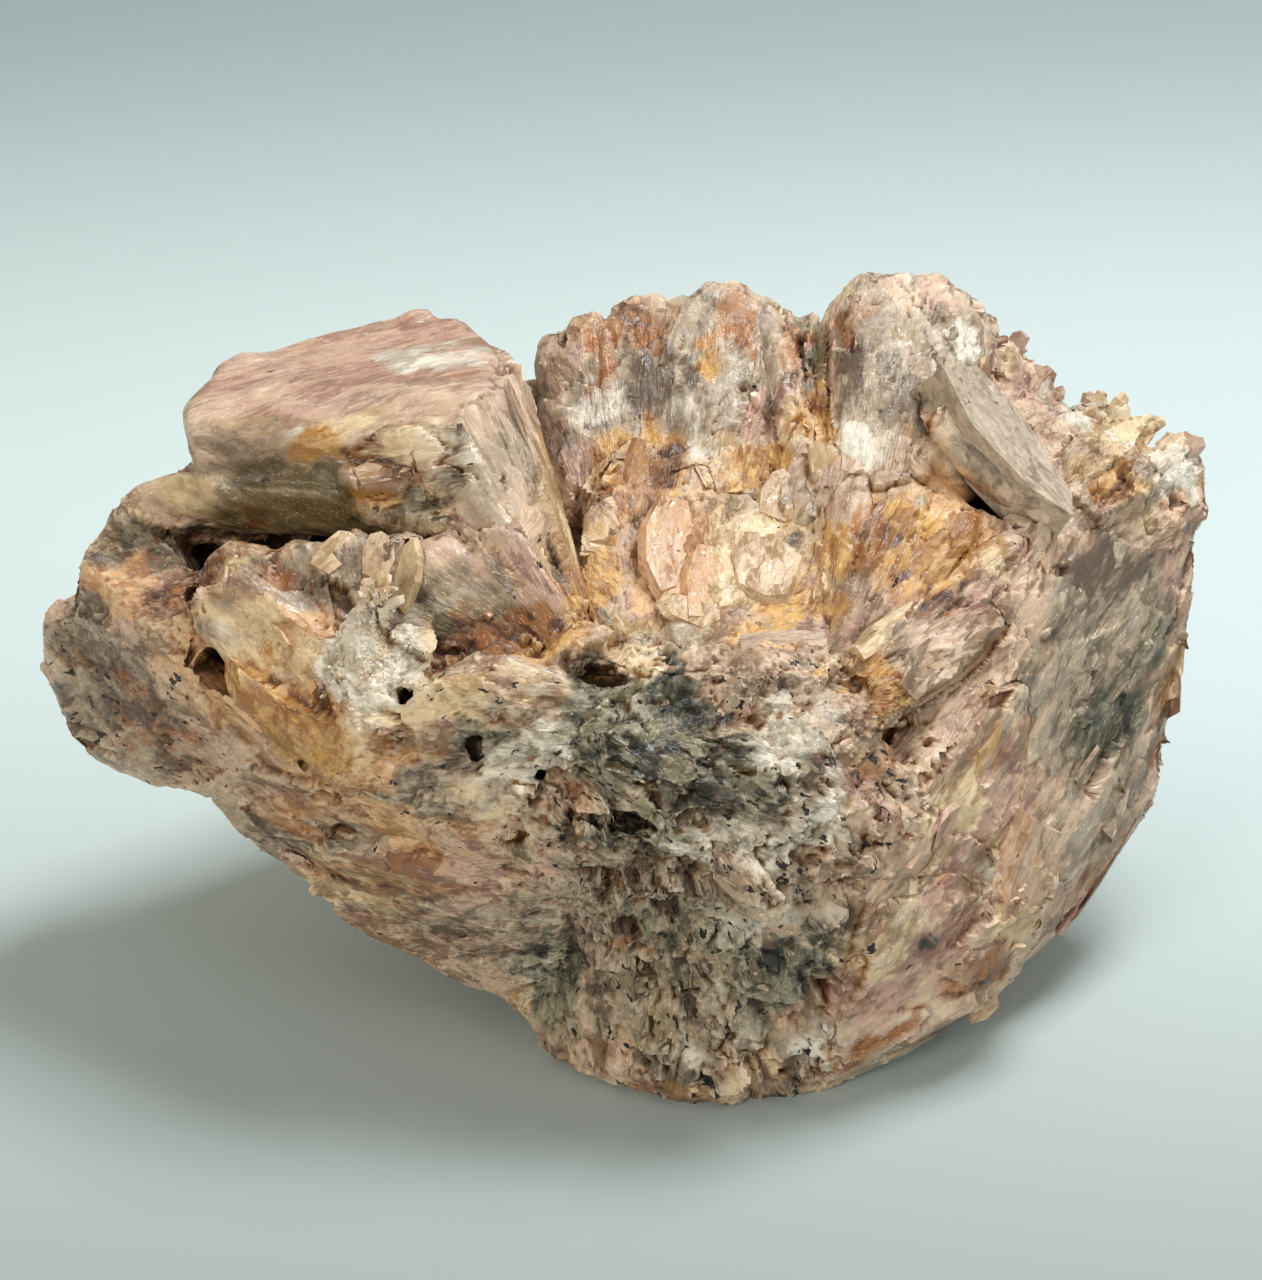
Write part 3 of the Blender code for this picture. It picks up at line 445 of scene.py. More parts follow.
def waves(places: np.ndarray, size: float, seed: int, layers: int = 1) -> np.ndarray:
    """Smooth noise.

    Args:
        places: One row of three for each point.
        size: The distance between its hills.
        seed: Picks one of many such noises.
        layers: How many times a finer noise, half as strong, is added.

    Returns:
        Numbers round 0, within about 1 of it.
    """
    total = np.zeros(len(places))
    for layer in range(layers):
        value = np.zeros(len(places))
        for cell, share in corners_round(places * (2**layer / size), soft=True):
            value += share * chance(cell, seed + layer)
        total += (value * 2 - 1) / 2**layer
    return total


@dataclass(frozen=True)
class Noise:
    """A smooth noise: the distance between its hills, its seed, its layers, and how far it goes."""

    size: float
    seed: int
    layers: int
    reach: float = 1.0

    def at(self, places: np.ndarray, turn: int = 0) -> np.ndarray:
        """The noise at the places. Each turn is a noise of the same kind with another seed."""
        return waves(places, self.size, self.seed + turn, self.layers) * self.reach

    def sway(self, places: np.ndarray) -> np.ndarray:
        """The noise along each of the three axes, which the places can be shifted by."""
        return np.stack([self.at(places, axis) for axis in range(3)], axis=1)


WANDER = Noise(12.0, 40, 2, 3.0)  # of the rims between zones
DRIFT = Noise(7.0, 60, 3, 2.6)  # of the rims of stains
STREAK = Noise(3.0, 90, 3, 0.2)  # of all tints alike, along the crystals
PATCH = Noise(1.7, 95, 2, 0.24)  # of each tint for itself
MOTTLE = Noise(6.5, 130, 3)  # of the tints that lie over the whole stone
RAGGED = Noise(3.0, 520, 2, 0.45)  # of the rims of plates
SWELL = Noise(5.0, 500, 3, 0.5)  # of the pitted stretches
BAND = Noise(6.0, 720, 3, 0.25)  # of the tone, over many crystals
BENDS = (Noise(14.0, 700, 2, 0.6), Noise(33.0, 740, 1, 1.3))  # of the whole stone


def plates(grain: np.ndarray, way: np.ndarray, face: np.ndarray, seed: int) -> tuple:
    """Overlapping plates about 1 wide. Each is tilted, so that its far end stands out over the next.

    Args:
        grain: One row of three for each point.
        way: The way along the skin that the plates point, at each point.
        face: The way that the skin looks, at each point.
        seed: Picks one of many such coverings.

    Returns:
        The uppermost plate's own number from 0 to 1, its height, from 0 to about 1, and how near the
        plate's rim the point is, from 0 to 1.
    """
    longest, widest = 0.75, 0.85
    side = np.cross(face, way)
    best = np.full(len(grain), -0.6)
    owner = np.zeros(len(grain))
    rim = np.zeros(len(grain))
    for cell in cells_round(grain):
        number = chance(cell, seed)
        gap = grain - cell - chances(cell, seed + 1)
        along = np.sum(gap * way, axis=1)
        across = np.abs(np.sum(gap * side, axis=1))
        deep = np.sum(gap * face, axis=1)
        end = along + across * (0.2 + 0.8 * chance(cell, seed + 5))
        height = 0.55 * number + 0.5 * along - deep**2
        height = np.where((end > longest) | (across > widest), -1.0, height)
        higher = height > best
        best = np.where(higher, height, best)
        owner = np.where(higher, number, owner)
        rim = np.where(higher, np.maximum(end / longest, across / widest), rim)
    return (owner * 7.3) % 1.0, best + 0.3, np.clip(rim, 0, 1)


def crystals_at(grain: np.ndarray, normals: np.ndarray, zone: np.ndarray, seed: int) -> tuple:
    """Sorts points into crystals about 1 wide, so that the two sides of a blade aren't mixed.

    Args:
        grain: One row of three for each point.
        normals: The way that the skin looks at each point.
        zone: The number of each point's zone.
        seed: Picks one of many such arrangements.

    Returns:
        The number of each point's crystal, and that crystal's own number from 0 to 1.
    """
    best = np.full(len(grain), np.inf)
    owner = np.zeros_like(grain)
    for cell in cells_round(grain):
        gap = np.sum((grain - (cell + chances(cell, seed + 1))) ** 2, axis=1)
        nearer = gap < best
        best = np.where(nearer, gap, best)
        owner = np.where(nearer[:, None], cell, owner)
    side = np.sum(normals * (chances(owner, seed + 5) - 0.5), axis=1) > 0
    rows = np.column_stack([owner, side, zone]).astype(np.int64)
    key = rows[:, 0]
    for column in range(1, rows.shape[1]):
        key = key * 1000 + rows[:, column] % 1000
    return np.unique(key, return_inverse=True)[1], chance(owner, seed)


def smoothly(values: np.ndarray, low: float, high: float) -> np.ndarray:
    """Turns values from low to high into 0 to 1, with soft ends."""
    share = np.clip((values - low) / (high - low), 0, 1)
    return share * share * (3 - 2 * share)


def unit(vectors: np.ndarray) -> np.ndarray:
    """Vectors of length 1, the same way as the given ones."""
    return vectors / np.maximum(np.linalg.norm(vectors, axis=-1, keepdims=True), 1e-9)


def read(rows: bpy.types.bpy_prop_collection, name: str, width: int = 1, kind: type = float) -> np.ndarray:
    """Reads one property of many corners, edges or faces.

    Args:
        rows: The corners, edges or faces.
        name: The property.
        width: How many numbers it has.
        kind: The type of its numbers.

    Returns:
        One number or one row for each.
    """
    flat = np.empty(len(rows) * width, kind)
    rows.foreach_get(name, flat)
    return flat.reshape(-1, width) if width > 1 else flat


def corners_of(mesh: bpy.types.Mesh) -> np.ndarray:
    """The corners of a mesh, in the millimetres of the zones."""
    return read(mesh.vertices, "co", 3) / MM + CENTRE


def normals_of(mesh: bpy.types.Mesh) -> np.ndarray:
    """The way each corner of a mesh looks."""
    return read(mesh.vertices, "normal", 3)


def placed(name: str, data: bpy.types.ID) -> bpy.types.Object:
    """Makes an object and puts it in the scene."""
    made = bpy.data.objects.new(name, data)
    bpy.context.scene.collection.objects.link(made)
    return made


def move_corners(mesh: bpy.types.Mesh, places: np.ndarray) -> None:
    """Moves the corners of a mesh to these places, in the millimetres of the zones."""
    mesh.vertices.foreach_set("co", ((places - CENTRE) * MM).ravel())
    mesh.update()


@dataclass(frozen=True)
class Growth:
    """How the crystals lie at each of many points.

    zone is the number of each point's zone, way the way its crystals run, and grain its place in
    coordinates in which a crystal is about as long as it is wide, so that noise in them is drawn out
    along the crystals. In the coordinates of fibre it is drawn out further.
    """

    zone: np.ndarray
    way: np.ndarray
    grain: np.ndarray
    fibre: np.ndarray

    def of(self, quality: str) -> np.ndarray:
        """A quality of each point's zone, such as its lath width."""
        return np.array([float(getattr(here, quality)) for here in ZONES.values()])[self.zone]

    def of_coat(self, quality: str) -> np.ndarray:
        """A quality of the flakes of each point's zone, such as their length."""
        return np.array([getattr(here.coat, quality) for here in ZONES.values()])[self.zone]

    def some(self, chosen: np.ndarray) -> "Growth":
        """The growth at the chosen points only."""
        return Growth(self.zone[chosen], self.way[chosen], self.grain[chosen], self.fibre[chosen])


def growth_in(places: np.ndarray, zone: np.ndarray) -> Growth:
    """How the crystals lie at each place, by the rule of the zone that it is given.

    Args:
        places: One row of three for each point.
        zone: The number of each point's zone.

    Returns:
        The growth at the places.
    """
    way, grain, fibre = (np.zeros_like(places) for _ in range(3))
    for number, here in enumerate(ZONES.values()):
        inside = zone == number
        own = places[inside]
        guide = np.array(here.guide, float)
        if here.habit is Habit.FAN:
            away = own - guide
            size = np.linalg.norm(np.array(here.middle) - guide)
            length = np.linalg.norm(away, axis=1, keepdims=True)
            way[inside] = unit(away)
            grain[inside] = way[inside] * (size + (length - size) / here.stretch)
            fibre[inside] = way[inside] * (size + (length - size) / here.stretch / FIBRE_STRETCH)
        else:
            run = guide / np.linalg.norm(guide)
            way[inside] = run
            grain[inside] = own - np.outer(own @ run, run) * (1 - 1 / here.stretch)
            fibre[inside] = own - np.outer(own @ run, run) * (1 - 1 / here.stretch / FIBRE_STRETCH)
    return Growth(zone, way, grain, fibre)


def growths_at(places: np.ndarray) -> tuple:
    """Finds the two nearest zones of each place, and how the crystals run in them.

    Args:
        places: One row of three for each point.

    Returns:
        The growth of the nearest zone, that of the next one, and the share of the nearest, from 0.5
        where both are as near to 1.
    """
    swayed = places + WANDER.sway(places)
    gaps = np.stack([
        np.linalg.norm((swayed - here.middle) / here.reach, axis=1) for here in ZONES.values()
    ])
    every = np.arange(len(places))
    nearest = np.argmin(gaps, axis=0)
    least = gaps[nearest, every]
    gaps[nearest, every] = np.inf
    following = np.argmin(gaps, axis=0)
    share = 0.5 + 0.5 * smoothly(gaps[following, every] - least, 0.0, ZONE_RIM)
    return growth_in(places, nearest), growth_in(places, following), share


@dataclass
class Marks:
    """What the finishes read at each corner of a mesh.

    grain and fibre are as in Growth, and bite and specked as in Zone. tone makes a crystal lighter or
    darker than the next, hollow is how deep in a crevice the place is, which the finish paints as
    shade, and edge how far out on an edge, which it paints as a highlight.
    """

    grain: np.ndarray
    fibre: np.ndarray
    tone: np.ndarray
    hollow: np.ndarray
    edge: np.ndarray
    bite: np.ndarray
    specked: np.ndarray
    tints: dict = field(default_factory=dict)

    def stain(self, places: np.ndarray) -> None:
        """Works out how much of each tint there is at the places."""
        drifted = places + DRIFT.sway(places)
        streak = STREAK.at(self.grain)
        left = {tint: np.ones(len(places)) for tint in Tint}
        for tint, stains in STAINS.items():
            for stain in stains:
                left[tint] *= 1 - stain.cover(drifted)
        for tint, strength in MOTTLES.items():
            patch = smoothly(MOTTLE.at(self.grain, ord(tint.value[0])), *MOTTLE_RIM)
            left[tint] *= 1 - strength * np.clip(self.bite, 0, 1) * patch
        for number, (tint, amount) in enumerate(left.items()):
            patchy = 1 - amount + streak + PATCH.at(self.grain, 4 * number)
            self.tints[tint] = smoothly(patchy, *TINT_RIM) * (amount < SURELY)

    def blend(self, other: "Marks", chosen: np.ndarray, share: np.ndarray) -> None:
        """Blends other marks in.

        Args:
            other: The marks to blend in, one for each chosen corner.
            chosen: Which corners are blended.
            share: How much of each corner's own marks is kept.
        """
        for name in ("tone", "bite", "specked"):
            own = getattr(self, name)
            own[chosen] = own[chosen] * share + getattr(other, name) * (1 - share)
        for tint, own in self.tints.items():
            own[chosen] = own[chosen] * share + other.tints[tint] * (1 - share)

    def some(self, chosen: np.ndarray) -> "Marks":
        """The marks of the chosen corners only."""
        plain = (self.grain, self.fibre, self.tone, self.hollow, self.edge, self.bite, self.specked)
        tints = {tint: amount[chosen] for tint, amount in self.tints.items()}
        return Marks(*(values[chosen] for values in plain), tints)

    def write(self, mesh: bpy.types.Mesh) -> None:
        """Writes the marks as attributes of the mesh's corners."""
        for name, values in (("grain", self.grain), ("fibre", self.fibre)):
            mesh.attributes.new(name, "FLOAT_VECTOR", "POINT").data.foreach_set("vector", values.ravel())
        named = {
            "tone": self.tone, "hollow": self.hollow, "edge": self.edge,
            "bite": self.bite, "specked": self.specked,
        }
        named.update({tint.value: amount for tint, amount in self.tints.items()})
        for name, values in named.items():
            mesh.attributes.new(name, "FLOAT", "POINT").data.foreach_set("value", values)


@dataclass(frozen=True)
class Skin:
    """The finished skin of the whole stone, which the flakes are set into."""

    places: np.ndarray
    normals: np.ndarray
    growth: Growth
    face_size: float
    tree: KDTree

    def nearest(self, places: np.ndarray) -> np.ndarray:
        """The numbers of the skin's corners that lie nearest to the places."""
        return np.array([self.tree.find(place)[1] for place in places])

    def gaps(self, places: np.ndarray) -> np.ndarray:
        """How far each place is from the nearest corner of the skin."""
        return np.array([self.tree.find(place)[2] for place in places])


@dataclass
class MassGrid:
    """How much of the stone lies round a place: much in a hollow, half on a flat, little on an edge.

    margin is how many cells are left free on each side, and past how far a ray starts behind a hit.
    """

    cell: float = 1.0
    margin: int = 14
    past: float = 0.01

    def filled(self, mesh: bpy.types.Mesh) -> np.ndarray:
        """Fills a grid with 1 inside the mesh and 0 outside, by looking down through each column."""
        corners = corners_of(mesh)
        tree = BVHTree.FromPolygons(corners.tolist(), [list(face.vertices) for face in mesh.polygons])
        size = np.ceil((HIGHEST - LOWEST) / self.cell).astype(int) + 2 * self.margin
        grid = np.zeros(size)
        low = LOWEST - self.margin * self.cell
        down = Vector((0, 0, -1))
        for row in range(self.margin, size[0] - self.margin):
            for line in range(self.margin, size[1] - self.margin):
                across, along = low[:2] + (np.array([row, line]) + 0.5) * self.cell
                top = None
                hit, normal, _, _ = tree.ray_cast(Vector((across, along, HIGHEST[2] + 1)), down)
                while hit is not None:
                    level = int((hit.z - low[2]) / self.cell)
                    if normal.z > 0:
                        top = level
                    elif top is not None:
                        grid[row, line, level:top] = 1
                        top = None
                    hit, normal, _, _ = tree.ray_cast(hit + down * self.past, down)
        return grid

    def blurred(self, grid: np.ndarray, reach: int) -> np.ndarray:
        """The mean of the grid over a cube that reaches this many cells each way, taken twice."""
        for _ in range(2):
            for axis in range(3):
                total = np.cumsum(grid, axis=axis)
                ahead = np.roll(total, -reach, axis=axis)
                behind = np.roll(total, reach + 1, axis=axis)
                grid = (ahead - behind) / (2 * reach + 1)
        return grid

    def near(self, grid: np.ndarray, places: np.ndarray) -> np.ndarray:
        """Reads the grid at the places, blended between its cells."""
        spots = (places - LOWEST) / self.cell + self.margin - 0.5
        value = np.zeros(len(places))
        for cell, share in corners_round(spots, soft=False):
            value += share * grid[tuple(cell.astype(int).T)]
        return value


@dataclass
class CrystalSkin:
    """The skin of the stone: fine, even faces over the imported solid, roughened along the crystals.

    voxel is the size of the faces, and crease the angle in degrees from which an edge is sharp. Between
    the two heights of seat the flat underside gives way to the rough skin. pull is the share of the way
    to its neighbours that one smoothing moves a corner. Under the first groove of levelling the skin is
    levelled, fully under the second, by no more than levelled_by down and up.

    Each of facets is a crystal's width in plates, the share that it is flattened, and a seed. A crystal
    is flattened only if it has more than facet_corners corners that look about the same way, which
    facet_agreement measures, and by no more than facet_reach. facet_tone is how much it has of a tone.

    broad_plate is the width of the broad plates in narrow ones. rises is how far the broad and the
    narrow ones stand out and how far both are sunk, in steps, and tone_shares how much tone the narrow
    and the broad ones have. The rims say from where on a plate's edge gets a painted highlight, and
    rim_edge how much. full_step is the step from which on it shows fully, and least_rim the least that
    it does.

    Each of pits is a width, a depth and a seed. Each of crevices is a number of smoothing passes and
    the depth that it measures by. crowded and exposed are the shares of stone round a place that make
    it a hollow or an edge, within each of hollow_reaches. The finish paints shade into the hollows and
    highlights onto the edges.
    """

    voxel: float = 0.62
    crease: float = 34.0
    seat: tuple = (0.3, 1.5)
    pull: float = 0.6
    broad_passes: int = 240
    levelling: tuple = (5.0, 1.5)
    levelled_by: tuple = (-4.0, 6.0)
    facets: tuple = ((2.5, 0.9, 800), (1.1, 0.6, 830))
    facet_reach: float = 2.2
    facet_agreement: tuple = (0.7, 0.9)
    facet_corners: int = 8
    facet_tone: float = 0.4
    broad_plate: float = 2.3
    plate_seeds: tuple = (100, 200)
    broad_rim: tuple = (0.72, 1.0)
    narrow_rim: tuple = (0.66, 1.0)
    narrow_share: float = 0.8
    full_step: float = 0.8
    least_rim: float = 0.15
    rim_edge: float = 0.4
    rises: tuple = (1.7, 0.8, 1.3)
    tone_shares: tuple = (0.55, 0.45)
    pits: tuple = ((5.0, 2.8, 600), (2.4, 1.4, 640))
    pit_rim: tuple = (0.45, 0.7)
    deepest: float = 3.0
    proudest: float = 0.7
    crevices: tuple = ((4, 0.35), (30, 1.3))
    hollow_reaches: tuple = (2, 5)
    crowded: tuple = (0.55, 0.9)
    crowded_share: float = 0.7
    exposed: tuple = (0.42, 0.2)
    exposed_share: float = 0.1
    stain_shift: float = 3.0

    def face_size(self) -> float:
        """How long the sides of the skin's faces are."""
        return self.voxel * 1

    def fine_copy(self) -> bpy.types.Mesh:
        """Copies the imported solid's mesh and gives it small, even faces."""
        copy = placed("fine_copy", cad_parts[NODE].data.copy())
        remesh = copy.modifiers.new("even_faces", "REMESH")
        remesh.mode = "VOXEL"
        remesh.voxel_size = self.face_size() * MM
        fine = copy.evaluated_get(bpy.context.evaluated_depsgraph_get())
        mesh = bpy.data.meshes.new_from_object(fine)
        bpy.data.objects.remove(copy)
        mesh.materials.clear()
        return mesh

    def soften(self, places: np.ndarray, edges: np.ndarray, passes: np.ndarray) -> np.ndarray:
        """Rounds off steps, more in some places than in others.

        Args:
            places: The corners.
            edges: The two corners of each edge.
            passes: How often each corner is moved towards the middle of its neighbours.

        Returns:
            The moved corners.
        """
        count = np.maximum(np.bincount(edges.ravel(), minlength=len(places)), 1).reshape(-1, 1)
        for step in range(int(passes.max())):
            total = np.stack([
                np.bincount(edges[:, 0], places[edges[:, 1], axis], len(places))
                + np.bincount(edges[:, 1], places[edges[:, 0], axis], len(places))
                for axis in range(3)
            ], axis=1)
            share = ((passes > step) & (count[:, 0] > 1)).reshape(-1, 1) * self.pull
            places = places + (total / count - places) * share
        return places

    def levelled(
        self, mesh: bpy.types.Mesh, places: np.ndarray, edges: np.ndarray, groove: np.ndarray,
        rib: np.ndarray,
    ) -> np.ndarray:
        """Fills the grooves and lowers the ribs that are deeper or higher than their zone allows.

        Args:
            mesh: The whole skin.
            places: Its corners.
            edges: The two corners of each edge.
            groove: How deep a groove may be at each corner.
            rib: How high a rib may be there.

        Returns:
            The moved corners.
        """
        inside = groove < self.levelling[0]
        own = edges[inside[edges].all(axis=1)]
        broad = self.soften(places, own, np.where(inside, self.broad_passes, 0))
        move_corners(mesh, broad)
        outward = normals_of(mesh)
        sunk = np.sum((broad - places) * outward, axis=1)
        shift = np.clip(sunk - np.clip(sunk, -rib, groove), *self.levelled_by)
        return places + outward * (shift * smoothly(groove, *self.levelling))[:, None]

    def faceted(self, places: np.ndarray, normals: np.ndarray, growth: Growth) -> tuple:
        """Gives each crystal a flat face.

        Args:
            places: The corners.
            normals: The way each corner looks.
            growth: How the crystals lie at them.

        Returns:
            The moved corners, and for each the own number, from 0 to 1, of its smallest crystal.
        """
        plate = growth.of("plate")[:, None]
        for scale, strength, seed in self.facets:
            crystal, own = crystals_at(growth.grain / (plate * scale), normals, growth.zone, seed)
            count = np.bincount(crystal)
            middle, face = (
                np.stack([np.bincount(crystal, rows[:, axis]) / count for axis in range(3)], axis=1)
                for rows in (places, normals)
            )
            agreement = np.linalg.norm(face, axis=1)
            flatness = smoothly(agreement, *self.facet_agreement) * (count > self.facet_corners)
            face = unit(face)[crystal]
            gap = np.sum((middle[crystal] - places) * face, axis=1)
            gap = np.clip(gap, -self.facet_reach, self.facet_reach)
            gap *= strength * flatness[crystal] * growth.of("flat")
            places = places + face * gap[:, None]
        return places, own

    def relief(self, places: np.ndarray, normals: np.ndarray, growth: Growth) -> tuple:
        """How far each place stands out or lies in.

        Args:
            places: The corners.
            normals: The way each corner looks.
            growth: How the crystals lie at them.

        Returns:
            A height in millimetres for each corner, the tone of its crystal, and how near the crystal's
            rim it is, from 0 to 1.
        """
        plate = growth.of("plate")[:, None]
        step = growth.of("step")
        pitted = growth.of("pitted")
        ragged = growth.grain + RAGGED.sway(places)
        way = unit(growth.way - normals * np.sum(growth.way * normals, axis=1)[:, None])
        sizes = (plate * self.broad_plate, plate)
        (broad_tone, broad, broad_rim), (tone, narrow, rim) = (
            plates(ragged / size, way, normals, seed) for size, seed in zip(sizes, self.plate_seeds)
        )
        rim = self.narrow_share * smoothly(rim, *self.narrow_rim)
        rim = np.maximum(smoothly(broad_rim, *self.broad_rim), rim)
        rim *= np.clip(step / self.full_step, self.least_rim, 1)
        broad_rise, narrow_rise, sunk = self.rises
        height = step * (broad_rise * broad + narrow_rise * narrow) - sunk * step
        height += pitted * SWELL.at(places)
        for size, depth, seed in self.pits:
            height -= pitted * depth * smoothly(waves(ragged, size, seed, 3), *self.pit_rim)
        own, shared = self.tone_shares
        tone = 0.5 + own * (tone - 0.5) + shared * (broad_tone - 0.5) + BAND.at(growth.grain)
        tone = np.clip(tone, 0, 1)
        return np.clip(height, -self.deepest, self.proudest), tone, rim

    def hollows(self, places: np.ndarray, edges: np.ndarray, normals: np.ndarray) -> tuple:
        """Finds how deep in a crevice, or how far out on an edge, each corner is.

        The finish paints shade into the hollows and highlights onto the edges.

        Args:
            places: The corners.
            edges: The two corners of each edge.
            normals: The way each corner looks.

        Returns:
            Two numbers for each corner: its hollow and its edge, from 0 to 1.
        """
        smooth = places
        done = 0
        hollow = np.zeros(len(places))
        edge = np.zeros(len(places))
        for passes, depth in self.crevices:
            smooth = self.soften(smooth, edges, np.full(len(places), passes - done))
            done = passes
            rise = np.sum((smooth - places) * normals, axis=1) / depth
            hollow += np.clip(rise, 0, 1) / len(self.crevices)
            edge += np.clip(-rise, 0, 1) / len(self.crevices)
        mass = MassGrid()
        grid = mass.filled(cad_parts[NODE].data)
        for reach in self.hollow_reaches:
            share = mass.near(mass.blurred(grid, reach), places)
            hollow += smoothly(share, *self.crowded) * self.crowded_share
            edge += smoothly(share, *self.exposed) * self.exposed_share
        return np.clip(hollow, 0, 1), np.clip(edge, 0, 1)

    def build(self) -> tuple:
        """Builds the skin.

        Returns:
            A list of objects, one for each area, and the Skin that flakes can be set into.
        """
        mesh = self.fine_copy()
        edges = read(mesh.edges, "vertices", 2, int)
        places = corners_of(mesh)
        above_seat = smoothly(places[:, 2], *self.seat)
        growth, following, share = growths_at(places)
        passes, groove, rib = (
            growth.of(name) * share + following.of(name) * (1 - share)
            for name in ("softened", "groove", "rib")
        )
        soft = self.soften(places, edges, passes * (above_seat > 0.5))
        soft = self.levelled(mesh, soft, edges, groove, rib)
        move_corners(mesh, soft)
        growth, following, share = growths_at(soft)
        normals = normals_of(mesh)
        flat, own = self.faceted(soft, normals, growth)
        bend = sum(noise.at(soft) for noise in BENDS)
        soft = soft + (flat - soft + normals * bend[:, None]) * above_seat[:, None]
        height, tone, rim = self.relief(soft, normals, growth)
        mixed = share < SURELY
        near = share[mixed]
        other_growth = following.some(mixed)
        other_height, other_tone, other_rim = self.relief(soft[mixed], normals[mixed], other_growth)
        height[mixed] = height[mixed] * near + other_height * (1 - near)
        rim[mixed] = rim[mixed] * near + other_rim * (1 - near)
        tone = np.clip(tone + self.facet_tone * (own - 0.5), 0, 1)
        moved = np.clip(soft + normals * (height * above_seat)[:, None], LOWEST, HIGHEST)
        move_corners(mesh, moved)
        hollow, edge = self.hollows(moved, edges, normals_of(mesh))
        # Plate rims add to the painted highlight, less in hollows.
        edge = np.clip(edge + self.rim_edge * rim * (1 - hollow), 0, 1)
        marks = Marks(
            growth.grain, growth.fibre, tone, hollow, edge, growth.of("bite"), growth.of("specked")
        )
        marks.stain(moved + (tone - 0.5)[:, None] * self.stain_shift)
        other = Marks(
            other_growth.grain, other_growth.fibre, other_tone, hollow[mixed], edge[mixed],
            other_growth.of("bite"), other_growth.of("specked"),
        )
        other.stain(moved[mixed] + (other_tone - 0.5)[:, None] * self.stain_shift)
        marks.blend(other, mixed, near)
        tree = KDTree(len(soft))
        for number, place in enumerate(soft):
            tree.insert(place, number)
        tree.balance()
        skin = Skin(soft, normals, growth, self.face_size(), tree)
        mesh.shade_smooth()
        mesh.set_sharp_from_angle(angle=math.radians(self.crease))
        looks = read(mesh.corner_normals, "vector", 3)
        return self.parted(mesh, moved, looks, marks, growth, following), skin

    def parted(
        self, mesh: bpy.types.Mesh, places: np.ndarray, looks: np.ndarray, marks: Marks,
        growth: Growth, following: Growth,
    ) -> list:
        """Parts the skin into one object for each area, and two for the back, which is the largest.

        Where two zones meet, the corners of a face of one zone that lie in the other are doubled, so
        that the grain doesn't jump within a face.

        Args:
            mesh: The whole skin.
            places: Its corners.
            looks: The way that each face looks at each of its corners.
            marks: The marks of its corners.
            growth: How the crystals lie at its corners.
            following: How they would lie by the rule of the next zone.

        Returns:
            The objects, which meet without a gap.
        """
        starts, sizes = (read(mesh.polygons, name, kind=int) for name in ("loop_start", "loop_total"))
        loops = read(mesh.loops, "vertex_index", kind=int)
        areas = list(Area)
        of_zone = np.array([areas.index(here.area) for here in ZONES.values()])
        face_zone = growth.zone[loops[starts]]
        foreign = growth.zone[loops] != np.repeat(face_zone, sizes)
        stretches = {area.value: of_zone[face_zone] == number for number, area in enumerate(areas)}
        back = stretches.pop(Area.BACK.value)
        on_left = places[loops[starts], 0] < CENTRE[0]
        stretches |= {"back_left": back & on_left, "back_right": back & ~on_left}
        made = []
        for name, chosen in stretches.items():
            own_loops = np.repeat(chosen, sizes)
            keys = (loops * 2 + foreign)[own_loops]
            used, corners = np.unique(keys, return_inverse=True)
            doubled = used % 2 == 1
            used = used // 2
            faces = np.split(corners, np.cumsum(sizes[chosen])[:-1])
            piece = new_mesh(name + "_skin", places[used], [list(face) for face in faces])
            piece.data.shade_smooth()
            piece.data.normals_split_custom_set(looks[own_loops].tolist())
            own = marks.some(used)
            own.grain = np.where(doubled[:, None], following.grain[used], own.grain)
            own.fibre = np.where(doubled[:, None], following.fibre[used], own.fibre)
            own.write(piece.data)
            made.append(piece)
        return made


def new_mesh(name: str, places: np.ndarray, faces: list) -> bpy.types.Object:
    """Makes a mesh object.

    Args:
        name: The object's name.
        places: Its corners, in the millimetres of the zones.
        faces: The corners of each face.

    Returns:
        The object, in the scene.
    """
    mesh = bpy.data.meshes.new(name)
    mesh.from_pydata(((places - CENTRE) * MM).tolist(), [], faces)
    return placed(name, mesh)


